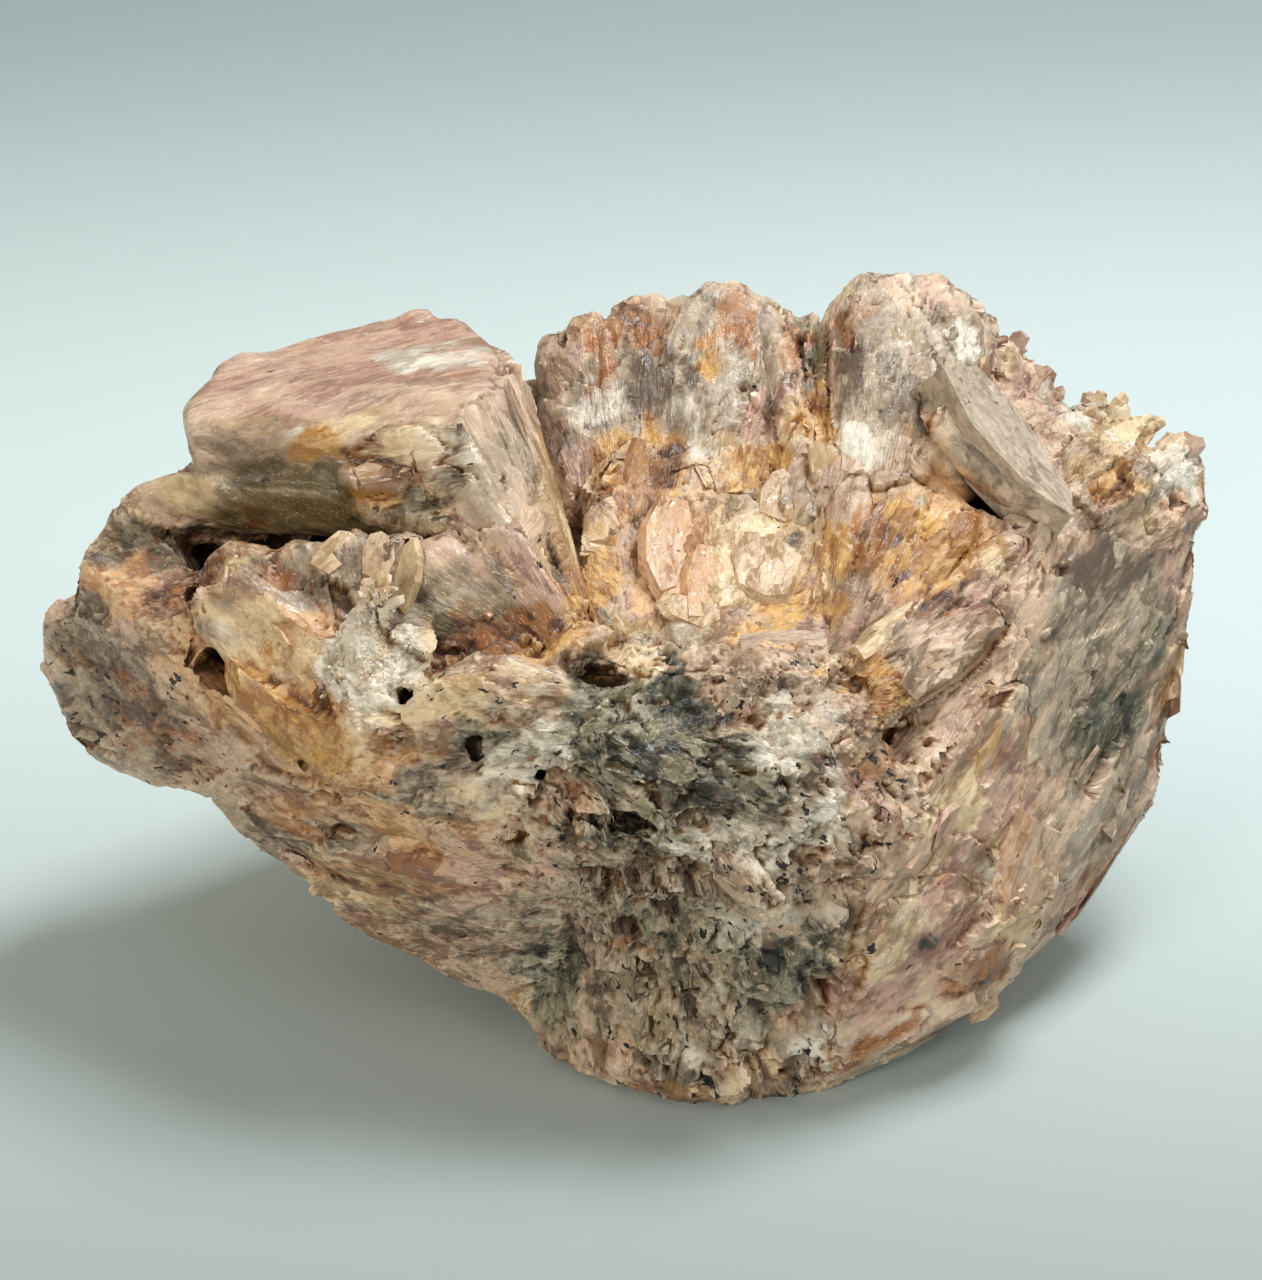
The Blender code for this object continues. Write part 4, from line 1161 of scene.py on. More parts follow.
@dataclass
class Flat:
    """Many flat crystals at once, as arrays: the middle, way, face and sizes of each.

    OUTLINE is a crystal's outline from its root, along its length and across its half width, and RAGGED
    how far each corner strays from it. LAYERS gives the height of the lower and the upper outline, in
    thicknesses, and the shares of the length and of the width that they have.
    """

    middles: np.ndarray
    ways: np.ndarray
    faces: np.ndarray
    lengths: np.ndarray
    widths: np.ndarray
    thicknesses: np.ndarray
    seed: int

    OUTLINE = np.array([
        (0.04, -0.8), (0.0, 0.6), (0.45, 1.0), (0.88, 0.85), (1.0, 0.25), (0.92, -0.6), (0.5, -1.0)
    ])
    RAGGED = 0.13
    LAYERS = ((-0.5, 1.0, 1.0), (0.5, 0.93, 0.8))
    GRAIN_STRETCH = 0.45  # the grain's place along a crystal, for each millimetre of its length
    FIBRE_STRETCH = 0.35  # the fibre's place, for each millimetre of the grain's

    def corners(self) -> np.ndarray:
        """The corners of each crystal.

        Returns:
            An array of crystals by corners by three: first the lower outline, then the upper one.
        """
        count = len(self.middles)
        chance_of = np.random.default_rng(self.seed)
        outline = self.OUTLINE + chance_of.uniform(-self.RAGGED, self.RAGGED, (count, len(self.OUTLINE), 2))
        across = unit(np.cross(self.faces, self.ways))
        out = unit(np.cross(self.ways, across))
        layers = []
        for rise, along_share, across_share in self.LAYERS:
            reach = (outline[:, :, 0] - 0.5) * along_share * self.lengths[:, None]
            side = outline[:, :, 1] * across_share * self.widths[:, None] / 2
            layers.append(
                self.middles[:, None]
                + self.ways[:, None] * reach[:, :, None]
                + across[:, None] * side[:, :, None]
                + out[:, None] * (rise * self.thicknesses)[:, None, None]
            )
        return np.concatenate(layers, axis=1)

    def sides(self) -> list:
        """The faces of all the crystals, as lists of corners."""
        rim = len(self.OUTLINE)
        single = [list(range(rim, 2 * rim)), list(range(rim - 1, -1, -1))]
        single += [[step, (step + 1) % rim, rim + (step + 1) % rim, rim + step] for step in range(rim)]
        return [
            [first + corner for corner in side]
            for first in range(0, 2 * rim * len(self.middles), 2 * rim)
            for side in single
        ]

    def build(self, name: str, marks: Marks) -> bpy.types.Object:
        """Builds the crystals as one object.

        Args:
            name: The object's name.
            marks: One row of marks for each crystal.

        Returns:
            The object, with marks at each corner.
        """
        rim = len(self.OUTLINE)
        each = 2 * rim
        count = len(self.middles)
        corners = np.clip(self.corners(), LOWEST, HIGHEST)
        made = new_mesh(name, corners.reshape(-1, 3), self.sides())
        spread = marks.some(np.repeat(np.arange(count), each))
        outline = np.tile(np.concatenate([self.OUTLINE] * 2), (count, 1))
        upper = np.tile(np.repeat([0.0, 1.0], rim), count)
        own = np.random.default_rng(self.seed + 1).uniform(0, 400, (count, 3))
        spread.grain = np.repeat(own, each, axis=0) + np.stack([
            outline[:, 1] * np.repeat(self.widths, each) / 2,
            outline[:, 0] * np.repeat(self.lengths, each) * self.GRAIN_STRETCH,
            upper * np.repeat(self.thicknesses, each),
        ], axis=1)
        spread.fibre = spread.grain * self.FIBRE_STRETCH
        # Painted shade darkens each crystal towards its root, and a painted highlight lightens its free end.
        spread.hollow = 0.25 * smoothly(0.45 - outline[:, 0], 0.0, 0.45)
        spread.edge = 0.5 * smoothly(outline[:, 0], 0.4, 1.0)
        spread.write(made.data)
        return made


@dataclass
class Flakes:
    """The flakes that are set into the skin of one area.

    lowest is how high above the ground the first ones are, and loosest how far the ends of one may be
    from the skin. tilt is how far one turns out of the skin, size_spread how much their sizes differ,
    and stain_stray how far from its own place one takes its tints.
    """

    area: Area
    seed: int = 21
    lowest: float = 2.5
    loosest: float = 1.1
    tilt: float = 0.12
    size_spread: float = 0.35
    stain_stray: float = 1.6

    def build(self, skin: Skin) -> bpy.types.Object:
        """Sets the flakes into the skin.

        Args:
            skin: The skin of the whole stone.

        Returns:
            One object with all the flakes of the area.
        """
        number = list(Area).index(self.area)
        chance_of = np.random.default_rng(self.seed + number)
        own_zones = np.array([here.area is self.area for here in ZONES.values()])
        odds = skin.growth.of_coat("cover") * own_zones[skin.growth.zone] * skin.face_size**2 / 100
        odds *= skin.places[:, 2] > self.lowest
        chosen = np.flatnonzero(chance_of.random(len(odds)) < odds)
        growth = skin.growth.some(chosen)
        count = len(chosen)

        def drawn(quality: str) -> np.ndarray:
            """A chance number for each flake, between the bounds that its zone's coat gives."""
            bounds = growth.of_coat(quality)
            return bounds[:, 0] + (bounds[:, 1] - bounds[:, 0]) * chance_of.random(count)

        def sized(quality: str) -> np.ndarray:
            """A size for each flake, round the one that its zone's coat gives."""
            return growth.of_coat(quality) * np.exp(chance_of.normal(0, self.size_spread, count))

        normals = unit(skin.normals[chosen] + chance_of.normal(0, self.tilt, (count, 3)))
        turn = np.radians(growth.of_coat("stray") * chance_of.normal(0, 1, count))[:, None]
        ways = unit(growth.way - normals * np.sum(growth.way * normals, axis=1)[:, None])
        aside = np.cross(normals, ways)
        ways = ways * np.cos(turn) + aside * np.sin(turn)
        lift = np.radians(drawn("lift"))[:, None]
        raised = ways * np.cos(lift) + normals * np.sin(lift)
        faces = normals * np.cos(lift) - ways * np.sin(lift)
        middles = skin.places[chosen] + normals * drawn("proud")[:, None]
        lengths, widths, thicknesses = (sized(quality) for quality in ("length", "width", "thickness"))
        reach = raised * lengths[:, None] / 2
        held = np.maximum(skin.gaps(middles + reach), skin.gaps(middles - reach)) < self.loosest
        flat = Flat(
            middles[held], raised[held], faces[held], lengths[held], widths[held], thicknesses[held],
            self.seed + 50 + number,
        )
        none = np.zeros(count)
        marks = Marks(
            growth.grain, growth.fibre, chance_of.uniform(0.25, 0.75, count), none, none,
            growth.of("bite"), growth.of("specked") * 0.4,
        )
        marks.stain(middles + chance_of.normal(0, self.stain_stray, (count, 3)))
        return flat.build(self.area.value + "_flakes", marks.some(held))


@dataclass
class Tuft:
    """A tuft or a row of small crystals that stand up from the skin.

    path is the line that they stand along, spread how far they stray from it, lean what is added to
    the way that the skin looks to give the way that they point, fray how much they point apart, and
    sunk the share of their length that is under the skin. tints gives the most that each crystal may
    have of a tint.
    """

    name: str
    path: tuple
    spread: float
    count: int
    lean: tuple
    fray: float
    length: tuple
    width: tuple
    thickness: tuple
    sunk: float
    tints: dict
    seed: int

    FACING = np.array([0, -0.8, 0.5])  # the way that most of them show their broad side

    def build(self, skin: Skin) -> bpy.types.Object:
        """Builds the crystals.

        Args:
            skin: The skin of the whole stone.

        Returns:
            One object with all of them.
        """
        chance_of = np.random.default_rng(self.seed)
        path = np.array(self.path, float)
        along = chance_of.random(self.count) * (len(path) - 1)
        step = np.minimum(along.astype(int), len(path) - 2)
        share = (along - step)[:, None]
        wanted = path[step] * (1 - share) + path[step + 1] * share
        wanted += chance_of.normal(0, self.spread, (self.count, 3))
        chosen = skin.nearest(wanted)
        ways = unit(skin.normals[chosen] + self.lean + chance_of.normal(0, self.fray, (self.count, 3)))
        faces = unit(chance_of.normal(0, 1, (self.count, 3)) + self.FACING)
        lengths = chance_of.uniform(*self.length, self.count)
        middles = skin.places[chosen] + ways * lengths[:, None] * (0.5 - self.sunk)
        flat = Flat(
            middles, ways, faces, lengths, chance_of.uniform(*self.width, self.count),
            chance_of.uniform(*self.thickness, self.count), self.seed + 1,
        )
        none = np.zeros(self.count)
        # The tones are kept high: painted light that brightens crystals standing in shade.
        marks = Marks(
            np.zeros((self.count, 3)), np.zeros((self.count, 3)), chance_of.uniform(0.7, 1.0, self.count),
            none, none, none + 0.5, none,
        )
        marks.stain(middles)
        for tint, most in self.tints.items():
            marks.tints[tint] = most * np.sqrt(chance_of.random(self.count))
        return flat.build(self.name, marks)


TUFTS = (
    Tuft(
        "druse_crystals", ((-40, -37, 81), (-41, -41, 75), (-42, -43, 70)), 2.6, 620, (0.0, -0.3, 0.5), 0.6,
        (0.9, 2.0), (0.4, 1.1), (0.4, 0.8), 0.64, {Tint.CREAM: 0.7, Tint.CHALK: 1.0}, 301,
    ),
    Tuft(
        "druse_prisms", ((-43, -38, 82), (-38, -38, 83), (-35, -37, 82)), 1.6, 14, (0.1, -0.3, 0.9), 0.3,
        (3.5, 6.0), (1.2, 2.0), (1.0, 1.6), 0.55, {Tint.CREAM: 1.0}, 306,
    ),
    Tuft(
        "right_crest_crystals",
        ((60, 41, 93), (66, 42, 89), (74, 42, 83), (80, 40, 80), (90, 36, 79), (99, 27, 76)),
        1.8, 26, (0.4, 0.0, 0.4), 0.4, (4.0, 8.0), (2.4, 4.6), (0.9, 1.8), 0.72,
        {Tint.ROSE: 0.9}, 302,
    ),
    Tuft(
        "cavity_crystals", ((-30, -30, 72), (-20, -32, 70), (-12, -36, 68)), 2.0, 40, (0.3, -0.3, 0.6), 0.4,
        (2.0, 4.0), (0.8, 1.8), (0.5, 1.0), 0.55, {Tint.RUST: 0.9, Tint.GOLD: 0.9}, 305,
    ),
)


@dataclass(frozen=True)
class Slab:
    """One large crystal laid on the skin.

    middle is where it lies, way the way that it points and face the way that it looks. size is its
    length, width and thickness, and proud how far its face stands out from the skin at the middle.
    """

    middle: tuple
    way: tuple
    face: tuple
    size: tuple
    proud: float
    tints: dict


SLABS = (
    Slab(
        (61, 4, 88), (0.57, -0.57, -0.59), (0.45, -0.45, 0.78), (33, 13, 9), 2.6,
        {Tint.SMOKE: 0.7, Tint.CHALK: 0.3},
    ),
    Slab(
        (2, 4, 80), (-0.1, -0.95, -0.27), (0.5, -0.3, 0.8), (18, 8, 2), 0.5,
        {Tint.GOLD: 0.6, Tint.RUST: 0.6},
    ),
    Slab(
        (6, -13, 79), (-0.18, -0.94, -0.29), (0.3, -0.3, 0.9), (24, 9, 2), 0.8,
        {Tint.PEACH: 0.7, Tint.ROSE: 0.4},
    ),
    Slab((12, -22, 76), (-0.1, -0.95, -0.25), (0.4, -0.25, 0.9), (20, 8, 2), 0.4, {Tint.PEACH: 0.9}),
    Slab(
        (22, -12, 75), (-0.15, -0.97, -0.15), (0.1, -0.2, 0.95), (25, 15, 2.4), 1.0,
        {Tint.CREAM: 0.5, Tint.ROSE: 0.5},
    ),
    Slab(
        (25, 0, 80), (0.3, 0.8, 0.45), (0.0, -0.5, 0.9), (10, 8, 1.8), 0.9,
        {Tint.ROSE: 0.4, Tint.CREAM: 0.5},
    ),
    Slab((33, 1, 82), (-0.1, 0.6, 0.7), (-0.1, -0.7, 0.6), (10, 6, 3), 0.5, {Tint.CREAM: 0.9}),
    Slab((42, -29, 71), (0.75, 0.6, 0.27), (0.3, -0.6, 0.7), (15, 5, 2.6), 0.2, {Tint.CREAM: 0.7}),
    Slab((47, -35, 67), (0.5, 0.75, 0.3), (0.4, -0.6, 0.65), (14, 7, 2.6), 0.2, {Tint.SMOKE: 0.5}),
    Slab(
        (-40, -16, 92), (1.0, 0.1, 0.0), (-0.1, -0.6, 0.8), (10, 5, 1.8), 0.5,
        {Tint.ROSE: 0.5, Tint.CREAM: 0.5},
    ),
    Slab((-47, -25, 83), (0.6, 0.5, 0.5), (0.1, -0.7, 0.7), (9, 6, 3), 0.2, {Tint.CREAM: 0.6}),
    Slab(
        (-40, -26, 83), (0.2, 0.5, 0.7), (-0.1, -0.7, 0.7), (9, 7, 3), 0.2,
        {Tint.ROSE: 0.4, Tint.CREAM: 0.4},
    ),
    Slab((-35, -30, 81), (0.3, 0.5, 0.7), (-0.5, -0.6, 0.5), (11, 5, 1.4), 0.8, {Tint.CREAM: 0.9}),
    Slab(
        (66, -41, 32), (0.5, 0.3, 0.8), (0.6, -0.75, 0.2), (19, 12, 5), 0.3,
        {Tint.ROSE: 0.5, Tint.CREAM: 0.3},
    ),
    Slab(
        (-17, -26, 84), (0.32, 0.89, 0.32), (0.0, -0.6, 0.8), (17, 9, 2.2), 0.4,
        {Tint.ROSE: 0.6, Tint.CREAM: 0.3},
    ),
)


@dataclass
class LaidCrystals:
    """The large crystals that are listed in SLABS and laid on the skin."""

    slabs: tuple = SLABS
    bite: float = 0.6
    seed: int = 410

    def build(self, skin: Skin) -> bpy.types.Object:
        """Builds the crystals.

        Args:
            skin: The skin of the whole stone.

        Returns:
            One object with all of them.
        """
        faces = unit(np.array([slab.face for slab in self.slabs], float))
        ways = np.array([slab.way for slab in self.slabs], float)
        ways = unit(ways - faces * np.sum(ways * faces, axis=1)[:, None])
        sizes = np.array([slab.size for slab in self.slabs], float)
        proud = np.array([slab.proud for slab in self.slabs])
        lying = skin.nearest(np.array([slab.middle for slab in self.slabs], float))
        middles = skin.places[lying] + faces * (proud - sizes[:, 2] / 2)[:, None]
        count = len(self.slabs)
        none = np.zeros(count)
        marks = Marks(
            np.zeros((count, 3)), np.zeros((count, 3)), none + 0.5, none, none, none + self.bite, none + 0.1
        )
        marks.stain(middles)
        for tint in Tint:
            marks.tints[tint] = np.array([slab.tints.get(tint, 0.0) for slab in self.slabs])
        flat = Flat(middles, ways, faces, *sizes.T, self.seed)
        return flat.build("laid_crystals", marks)


class Nodes:
    """A short way to build a material's nodes."""

    def __init__(self, name: str) -> None:
        """Starts a material with its surface shader."""
        self.material = bpy.data.materials.new(name)
        self.material.use_nodes = True
        self.tree = self.material.node_tree
        self.surface = self.tree.nodes["Principled BSDF"]

    def add(self, kind: str, inputs: dict, **settings: object) -> bpy.types.Node:
        """Adds a node.

        Args:
            kind: The node's type.
            inputs: A value or a socket for each input, by its name or number.
            settings: The node's own settings.

        Returns:
            The node.
        """
        node = self.tree.nodes.new(kind)
        for key, value in settings.items():
            setattr(node, key, value)
        for key, value in inputs.items():
            self.feed(node.inputs[key], value)
        return node

    def feed(self, socket: bpy.types.NodeSocket, value: object) -> None:
        """Links a socket to the input, or sets its value."""
        if isinstance(value, bpy.types.NodeSocket):
            self.tree.links.new(value, socket)
        else:
            socket.default_value = value

    def amount(self, name: str) -> bpy.types.NodeSocket:
        """What the mesh's attribute of this name holds."""
        return self.add("ShaderNodeAttribute", {}, attribute_name=name).outputs["Fac"]

    def place(self, name: str) -> bpy.types.NodeSocket:
        """What the mesh's vector attribute of this name holds."""
        return self.add("ShaderNodeAttribute", {}, attribute_name=name).outputs["Vector"]

    def math(self, operation: str, *values: object) -> bpy.types.NodeSocket:
        """A sum of two or three numbers."""
        return self.add("ShaderNodeMath", dict(enumerate(values)), operation=operation).outputs[0]

    def vector(self, operation: str, *values: object) -> bpy.types.Node:
        """A sum of two or three vectors."""
        return self.add("ShaderNodeVectorMath", dict(enumerate(values)), operation=operation)

    def weighted(self, values: tuple, weights: tuple, start: object = 0.0) -> bpy.types.NodeSocket:
        """Adds values to a start, each times its weight."""
        for value, weight in zip(values, weights):
            start = self.math("MULTIPLY_ADD", value, weight, start)
        return start

    def spread(
        self, value: object, low: float, high: float, to_low: float = 0.0, to_high: float = 1.0
    ) -> bpy.types.NodeSocket:
        """Turns values from low to high into another span, with soft ends."""
        node = self.add(
            "ShaderNodeMapRange",
            {"Value": value, "From Min": low, "From Max": high, "To Min": to_low, "To Max": to_high},
            interpolation_type="SMOOTHSTEP",
        )
        return node.outputs["Result"]

    def noise(
        self, where: object, size: float, detail: float = 2.0, rough: float = 0.5
    ) -> bpy.types.NodeSocket:
        """Noise with hills this far apart, in the units of where."""
        node = self.add(
            "ShaderNodeTexNoise",
            {"Vector": where, "Scale": 1 / size, "Detail": detail, "Roughness": rough},
        )
        return node.outputs["Fac"]

    def blend(self, share: object, below: object, above: object, way: str = "MIX") -> bpy.types.NodeSocket:
        """Lays one colour over another."""
        inputs = {"Factor": share, 6: below, 7: above}
        return self.add("ShaderNodeMix", inputs, data_type="RGBA", blend_type=way).outputs[2]


@dataclass(frozen=True)
class TintColours:
    """The colours that a tint's fibres vary between."""

    dark: tuple
    light: tuple


TINTS = {
    Tint.ROSE: TintColours((0.27, 0.12, 0.085, 1), (0.66, 0.42, 0.315, 1)),
    Tint.PEACH: TintColours((0.38, 0.165, 0.055, 1), (0.84, 0.52, 0.26, 1)),
    Tint.CREAM: TintColours((0.42, 0.25, 0.10, 1), (0.90, 0.70, 0.42, 1)),
    Tint.SMOKE: TintColours((0.115, 0.072, 0.042, 1), (0.42, 0.32, 0.22, 1)),
    Tint.OLIVE: TintColours((0.045, 0.028, 0.009, 1), (0.26, 0.18, 0.07, 1)),
    Tint.SLATE: TintColours((0.012, 0.012, 0.004, 1), (0.19, 0.175, 0.09, 1)),
    Tint.CHALK: TintColours((0.38, 0.32, 0.23, 1), (0.92, 0.86, 0.74, 1)),
    Tint.GOLD: TintColours((0.30, 0.11, 0.012, 1), (0.76, 0.44, 0.12, 1)),
    Tint.RUST: TintColours((0.065, 0.018, 0.003, 1), (0.42, 0.16, 0.04, 1)),
}


@dataclass(frozen=True)
class BariteFinish:
    """Bladed barite: pink and cream fibres, with tints laid over each other.

    Hollows and crevices are darkened with painted shade, and glints and edges lightened with a painted
    highlight. The cells, fibres, glints and pores are in the units of the grain, and the grit, the calm
    stretches and the bump in metres. A span gives the values between which something sets in and, where
    it has four, those that it then runs between. The weights of the light and the bump are those of the
    fibres, the big cells, the small cells and the grit, and then of the tone or the dots. The weights of
    the roughness are those of the fibres, the small cells and the bite.
    """

    dark: tuple = (0.26, 0.15, 0.08, 1)
    light: tuple = (0.68, 0.475, 0.325, 1)
    # A painted highlight colour, which glints and edges are lightened towards.
    pale: tuple = (0.92, 0.78, 0.59, 1)
    speck: tuple = (0.010, 0.008, 0.006, 1)
    # The next two colours are painted shade, for hollows and for the deepest crevices.
    shade: tuple = (0.48, 0.31, 0.16, 1)
    crevice_shade: tuple = (0.055, 0.027, 0.007, 1)
    big_cell: float = 2.6
    small_cell: float = 0.9
    cell_rise: float = 0.4
    fibre: float = 0.6
    grit: float = 0.0014
    calm: float = 0.008
    calm_span: tuple = (0.38, 0.6, 0.15, 1.0)
    light_weights: tuple = (0.9, 0.28, 0.24, 0.25, 0.5)
    light_span: tuple = (0.76, 1.36)
    mean_light: float = 0.55
    strong_span: tuple = (0.2, 0.9, 0.5, 1.0)
    painted_glint_size: float = 0.34
    painted_glint_span: tuple = (0.6, 0.68, 0.0, 0.7)
    edge_span: tuple = (0.0, 1.0, 0.03, 0.5)
    shade_span: tuple = (0.10, 0.75)
    crevice_shade_span: tuple = (0.55, 1.15)
    pore: float = 1.7
    pore_span: tuple = (0.745, 0.775)
    specked: float = 0.125
    rough_weights: tuple = (0.25, 0.35, 0.16)
    smoothest: float = 0.03
    refraction: float = 1.6
    bump_weights: tuple = (0.6, 0.7, 0.6, 0.25, -1.5)
    bump: float = 0.0008

    def cell_face(self, nodes: Nodes, where: object, size: float) -> tuple:
        """Cells that are each one small tilted face.

        Args:
            nodes: The material's nodes.
            where: The coordinates that the cells are laid out in.
            size: How far apart the cells are.

        Returns:
            A number from 0 to 1 that each cell has for itself, and the height of its face.
        """
        cell = nodes.add("ShaderNodeTexVoronoi", {"Vector": where, "Scale": 1 / size})
        own = nodes.add("ShaderNodeSeparateColor", {"Color": cell.outputs["Color"]}).outputs["Red"]
        tilt = nodes.vector("SUBTRACT", cell.outputs["Color"], (0.5, 0.5, 0.5)).outputs[0]
        away = nodes.vector("SUBTRACT", where, cell.outputs["Position"]).outputs[0]
        slope = nodes.vector("DOT_PRODUCT", tilt, away).outputs["Value"]
        return own, nodes.math("MULTIPLY_ADD", own, self.cell_rise * size, slope)

    def material(self) -> bpy.types.Material:
        """Builds the material.

        Returns:
            The material, which reads the attributes that Marks writes.
        """
        nodes = Nodes("barite")
        grain = nodes.place("grain")
        where = nodes.add("ShaderNodeTexCoord", {}).outputs["Object"]
        wobble = nodes.add("ShaderNodeTexNoise", {"Vector": grain, "Scale": 0.8, "Detail": 3.0})
        ragged = nodes.vector("MULTIPLY_ADD", wobble.outputs["Color"], (0.9, 0.9, 0.9), grain).outputs[0]
        big, big_height = self.cell_face(nodes, ragged, self.big_cell)
        small, small_height = self.cell_face(nodes, ragged, self.small_cell)
        grit = nodes.noise(where, self.grit, 3.0, 0.7)
        bite = nodes.amount("bite")
        fibre = nodes.noise(nodes.place("fibre"), self.fibre, 3.0, 0.6)
        calm = nodes.spread(nodes.noise(where, self.calm), *self.calm_span)
        fibre = nodes.math("MULTIPLY_ADD", nodes.math("SUBTRACT", fibre, 0.5), calm, 0.5)
        light = nodes.weighted((fibre, big, small, grit, nodes.amount("tone")), self.light_weights)
        light = nodes.math("SUBTRACT", nodes.spread(light, *self.light_span), self.mean_light)
        strong = nodes.spread(bite, *self.strong_span)
        light = nodes.math("MULTIPLY_ADD", light, strong, self.mean_light)
        colour = nodes.blend(light, self.dark, self.light)
        for tint, colours in TINTS.items():
            own = nodes.blend(light, colours.dark, colours.light)
            colour = nodes.blend(nodes.amount(tint.value), colour, own)
        # Painted glints: sparse spots along the grain lightened towards the highlight colour.
        glints = nodes.spread(nodes.noise(grain, self.painted_glint_size, 2.0, 0.6), *self.painted_glint_span)
        colour = nodes.blend(nodes.math("MULTIPLY", glints, light), colour, self.pale)
        # Painted highlight on edges and plate rims, strongest where the fibres are light.
        edge = nodes.math("MULTIPLY", nodes.amount("edge"), nodes.spread(light, *self.edge_span))
        colour = nodes.blend(edge, colour, self.pale)
        # Painted shade: hollows are darkened, and the deepest crevices turned almost black.
        hollow = nodes.amount("hollow")
        colour = nodes.blend(nodes.spread(hollow, *self.shade_span), colour, self.shade, "MULTIPLY")
        colour = nodes.blend(nodes.spread(hollow, *self.crevice_shade_span), colour, self.crevice_shade)
        pores = nodes.noise(ragged, self.pore, 3.0, 0.55)
        pores = nodes.weighted((nodes.amount("specked"),), (self.specked,), pores)
        dots = nodes.spread(pores, *self.pore_span)
        nodes.feed(nodes.surface.inputs["Base Color"], nodes.blend(dots, colour, self.speck))
        rough = nodes.weighted((fibre, small, bite), self.rough_weights, self.smoothest)
        nodes.feed(nodes.surface.inputs["Roughness"], rough)
        nodes.surface.inputs["IOR"].default_value = self.refraction
        height = nodes.weighted((fibre, big_height, small_height, grit, dots), self.bump_weights)
        height = nodes.math("MULTIPLY", height, bite)
        bump = nodes.add("ShaderNodeBump", {"Height": height, "Strength": 1.0, "Distance": self.bump})
        nodes.feed(nodes.surface.inputs["Normal"], bump.outputs["Normal"])
        return nodes.material


@dataclass(frozen=True)
class PaperFinish:
    """Pale paper, lightest beside the stone, darker behind it and before it: painted light and shade."""

    # The first colour is a painted pool of light; the next two are painted shade.
    beside: tuple = (0.62, 0.735, 0.735, 1)
    behind: tuple = (0.325, 0.405, 0.41, 1)
    before: tuple = (0.345, 0.40, 0.395, 1)
    back_edges: tuple = (0.12, 0.52)
    front_edges: tuple = (0.10, -0.14)

    def material(self) -> bpy.types.Material:
        """Builds the material."""
        nodes = Nodes("paper")
        where = nodes.add("ShaderNodeTexCoord", {}).outputs["Object"]
        depth = nodes.add("ShaderNodeSeparateXYZ", {0: where}).outputs["Y"]
        colour = nodes.blend(nodes.spread(depth, *self.back_edges), self.beside, self.behind)
        colour = nodes.blend(nodes.spread(depth, *self.front_edges), colour, self.before)
        nodes.feed(nodes.surface.inputs["Base Color"], colour)
        nodes.surface.inputs["Roughness"].default_value = 0.8
        return nodes.material


@dataclass(frozen=True)
class Lamp:
    """A soft lamp: where it hangs and how wide it is in metres, its power in watts and its colour."""

    name: str
    place: tuple
    size: float
    power: float
    colour: tuple

    def hang(self, looks_at: Vector) -> None:
        """Hangs the lamp so that it looks at a place."""
        data = bpy.data.lights.new(self.name, "AREA")
        data.size = self.size
        data.energy = self.power
        data.color = self.colour
        lamp = placed(self.name, data)
        lamp.location = self.place
        lamp.rotation_euler = (looks_at - Vector(self.place)).to_track_quat("-Z", "Y").to_euler()


LAMPS = (
    Lamp("key", (0.35, 0.30, 1.0), 0.4, 10.2, (0.97, 0.99, 1.0)),
    Lamp("front", (-0.85, -1.1, 0.65), 0.5, 7.6, (1.0, 0.92, 0.79)),
    Lamp("side", (1.1, -0.7, 0.9), 0.8, 3.4, (0.92, 0.98, 1.0)),
)


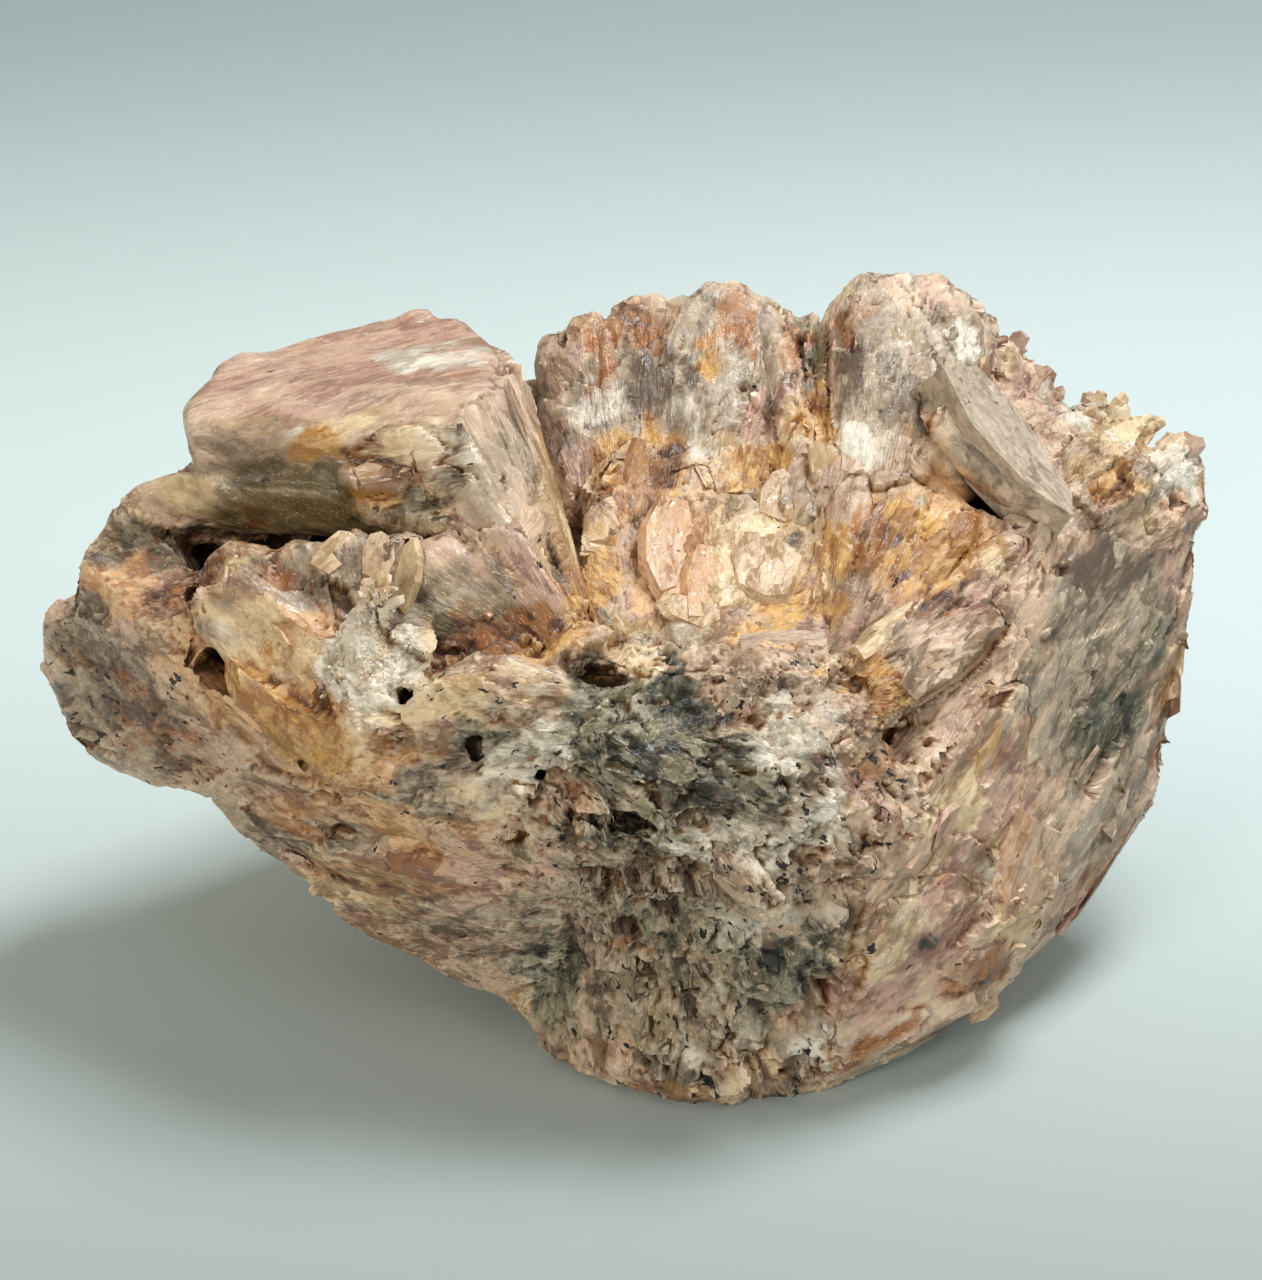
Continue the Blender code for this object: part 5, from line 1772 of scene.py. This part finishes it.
@dataclass
class Studio:
    """The floor, the lights and the camera. Places are in metres."""

    camera_height: float = 30.0
    camera_distance: float = 0.550
    looks_at: tuple = (-0.0005, 0.0069, 0.052)
    pixels_per_mm: float = 5.85
    picture_height: float = 1280.0
    sensor: float = 36.0
    floor_size: float = 6.0
    room_colour: tuple = (0.96, 0.92, 0.85, 1)
    room_strength: float = 0.38

    def camera(self) -> None:
        """Places the camera as the photograph had it."""
        rise = math.radians(self.camera_height)
        back = Vector((0, -math.cos(rise), math.sin(rise)))
        data = bpy.data.cameras.new("camera")
        data.sensor_width = self.sensor
        data.lens = self.sensor * self.pixels_per_mm * self.camera_distance / MM / self.picture_height
        data.clip_start = 0.01
        eye = placed("camera", data)
        eye.location = Vector(self.looks_at) + back * self.camera_distance
        eye.rotation_euler = (-back).to_track_quat("-Z", "Y").to_euler()
        bpy.context.scene.camera = eye

    def floor(self) -> None:
        """Lays a pale floor."""
        half = self.floor_size / 2
        mesh = bpy.data.meshes.new("floor")
        corners = [(-half, -half, 0), (half, -half, 0), (half, half, 0), (-half, half, 0)]
        mesh.from_pydata(corners, [], [(0, 1, 2, 3)])
        sheet = placed("floor", mesh)
        mesh.materials.append(PaperFinish().material())

    def room(self) -> None:
        """Fills the room with soft light from all sides."""
        world = bpy.data.worlds.new("room")
        world.use_nodes = True
        background = world.node_tree.nodes["Background"]
        background.inputs["Color"].default_value = self.room_colour
        background.inputs["Strength"].default_value = self.room_strength
        bpy.context.scene.world = world

    def build(self) -> None:
        """Builds the studio."""
        bpy.context.scene.view_settings.view_transform = "Standard"
        self.camera()
        self.floor()
        for lamp in LAMPS:
            lamp.hang(Vector(self.looks_at))
        self.room()


def dress(piece: bpy.types.Object, material: bpy.types.Material, part: str) -> None:
    """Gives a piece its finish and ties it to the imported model.

    Args:
        piece: The piece.
        material: Its finish.
        part: What the piece is, for the log.
    """
    piece.data.materials.append(material)
    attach(piece, BODY)
    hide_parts(NODE)
    triangles = sum(len(face.vertices) - 2 for face in piece.data.polygons)
    log.info("%s, %s: %d triangles", piece.name, part, triangles)


def main() -> None:
    """Builds the stone and the studio."""
    logging.basicConfig(level=logging.INFO, format="%(message)s")
    material = BariteFinish().material()
    pieces, skin = CrystalSkin().build()
    for piece in pieces:
        dress(piece, material, "skin")
    for area in Area:
        dress(Flakes(area).build(skin), material, "flakes")
    for tuft in TUFTS:
        dress(tuft.build(skin), material, "tuft")
    dress(LaidCrystals().build(skin), material, "crystals laid by hand")
    Studio().build()


if __name__ == "__main__":
    main()
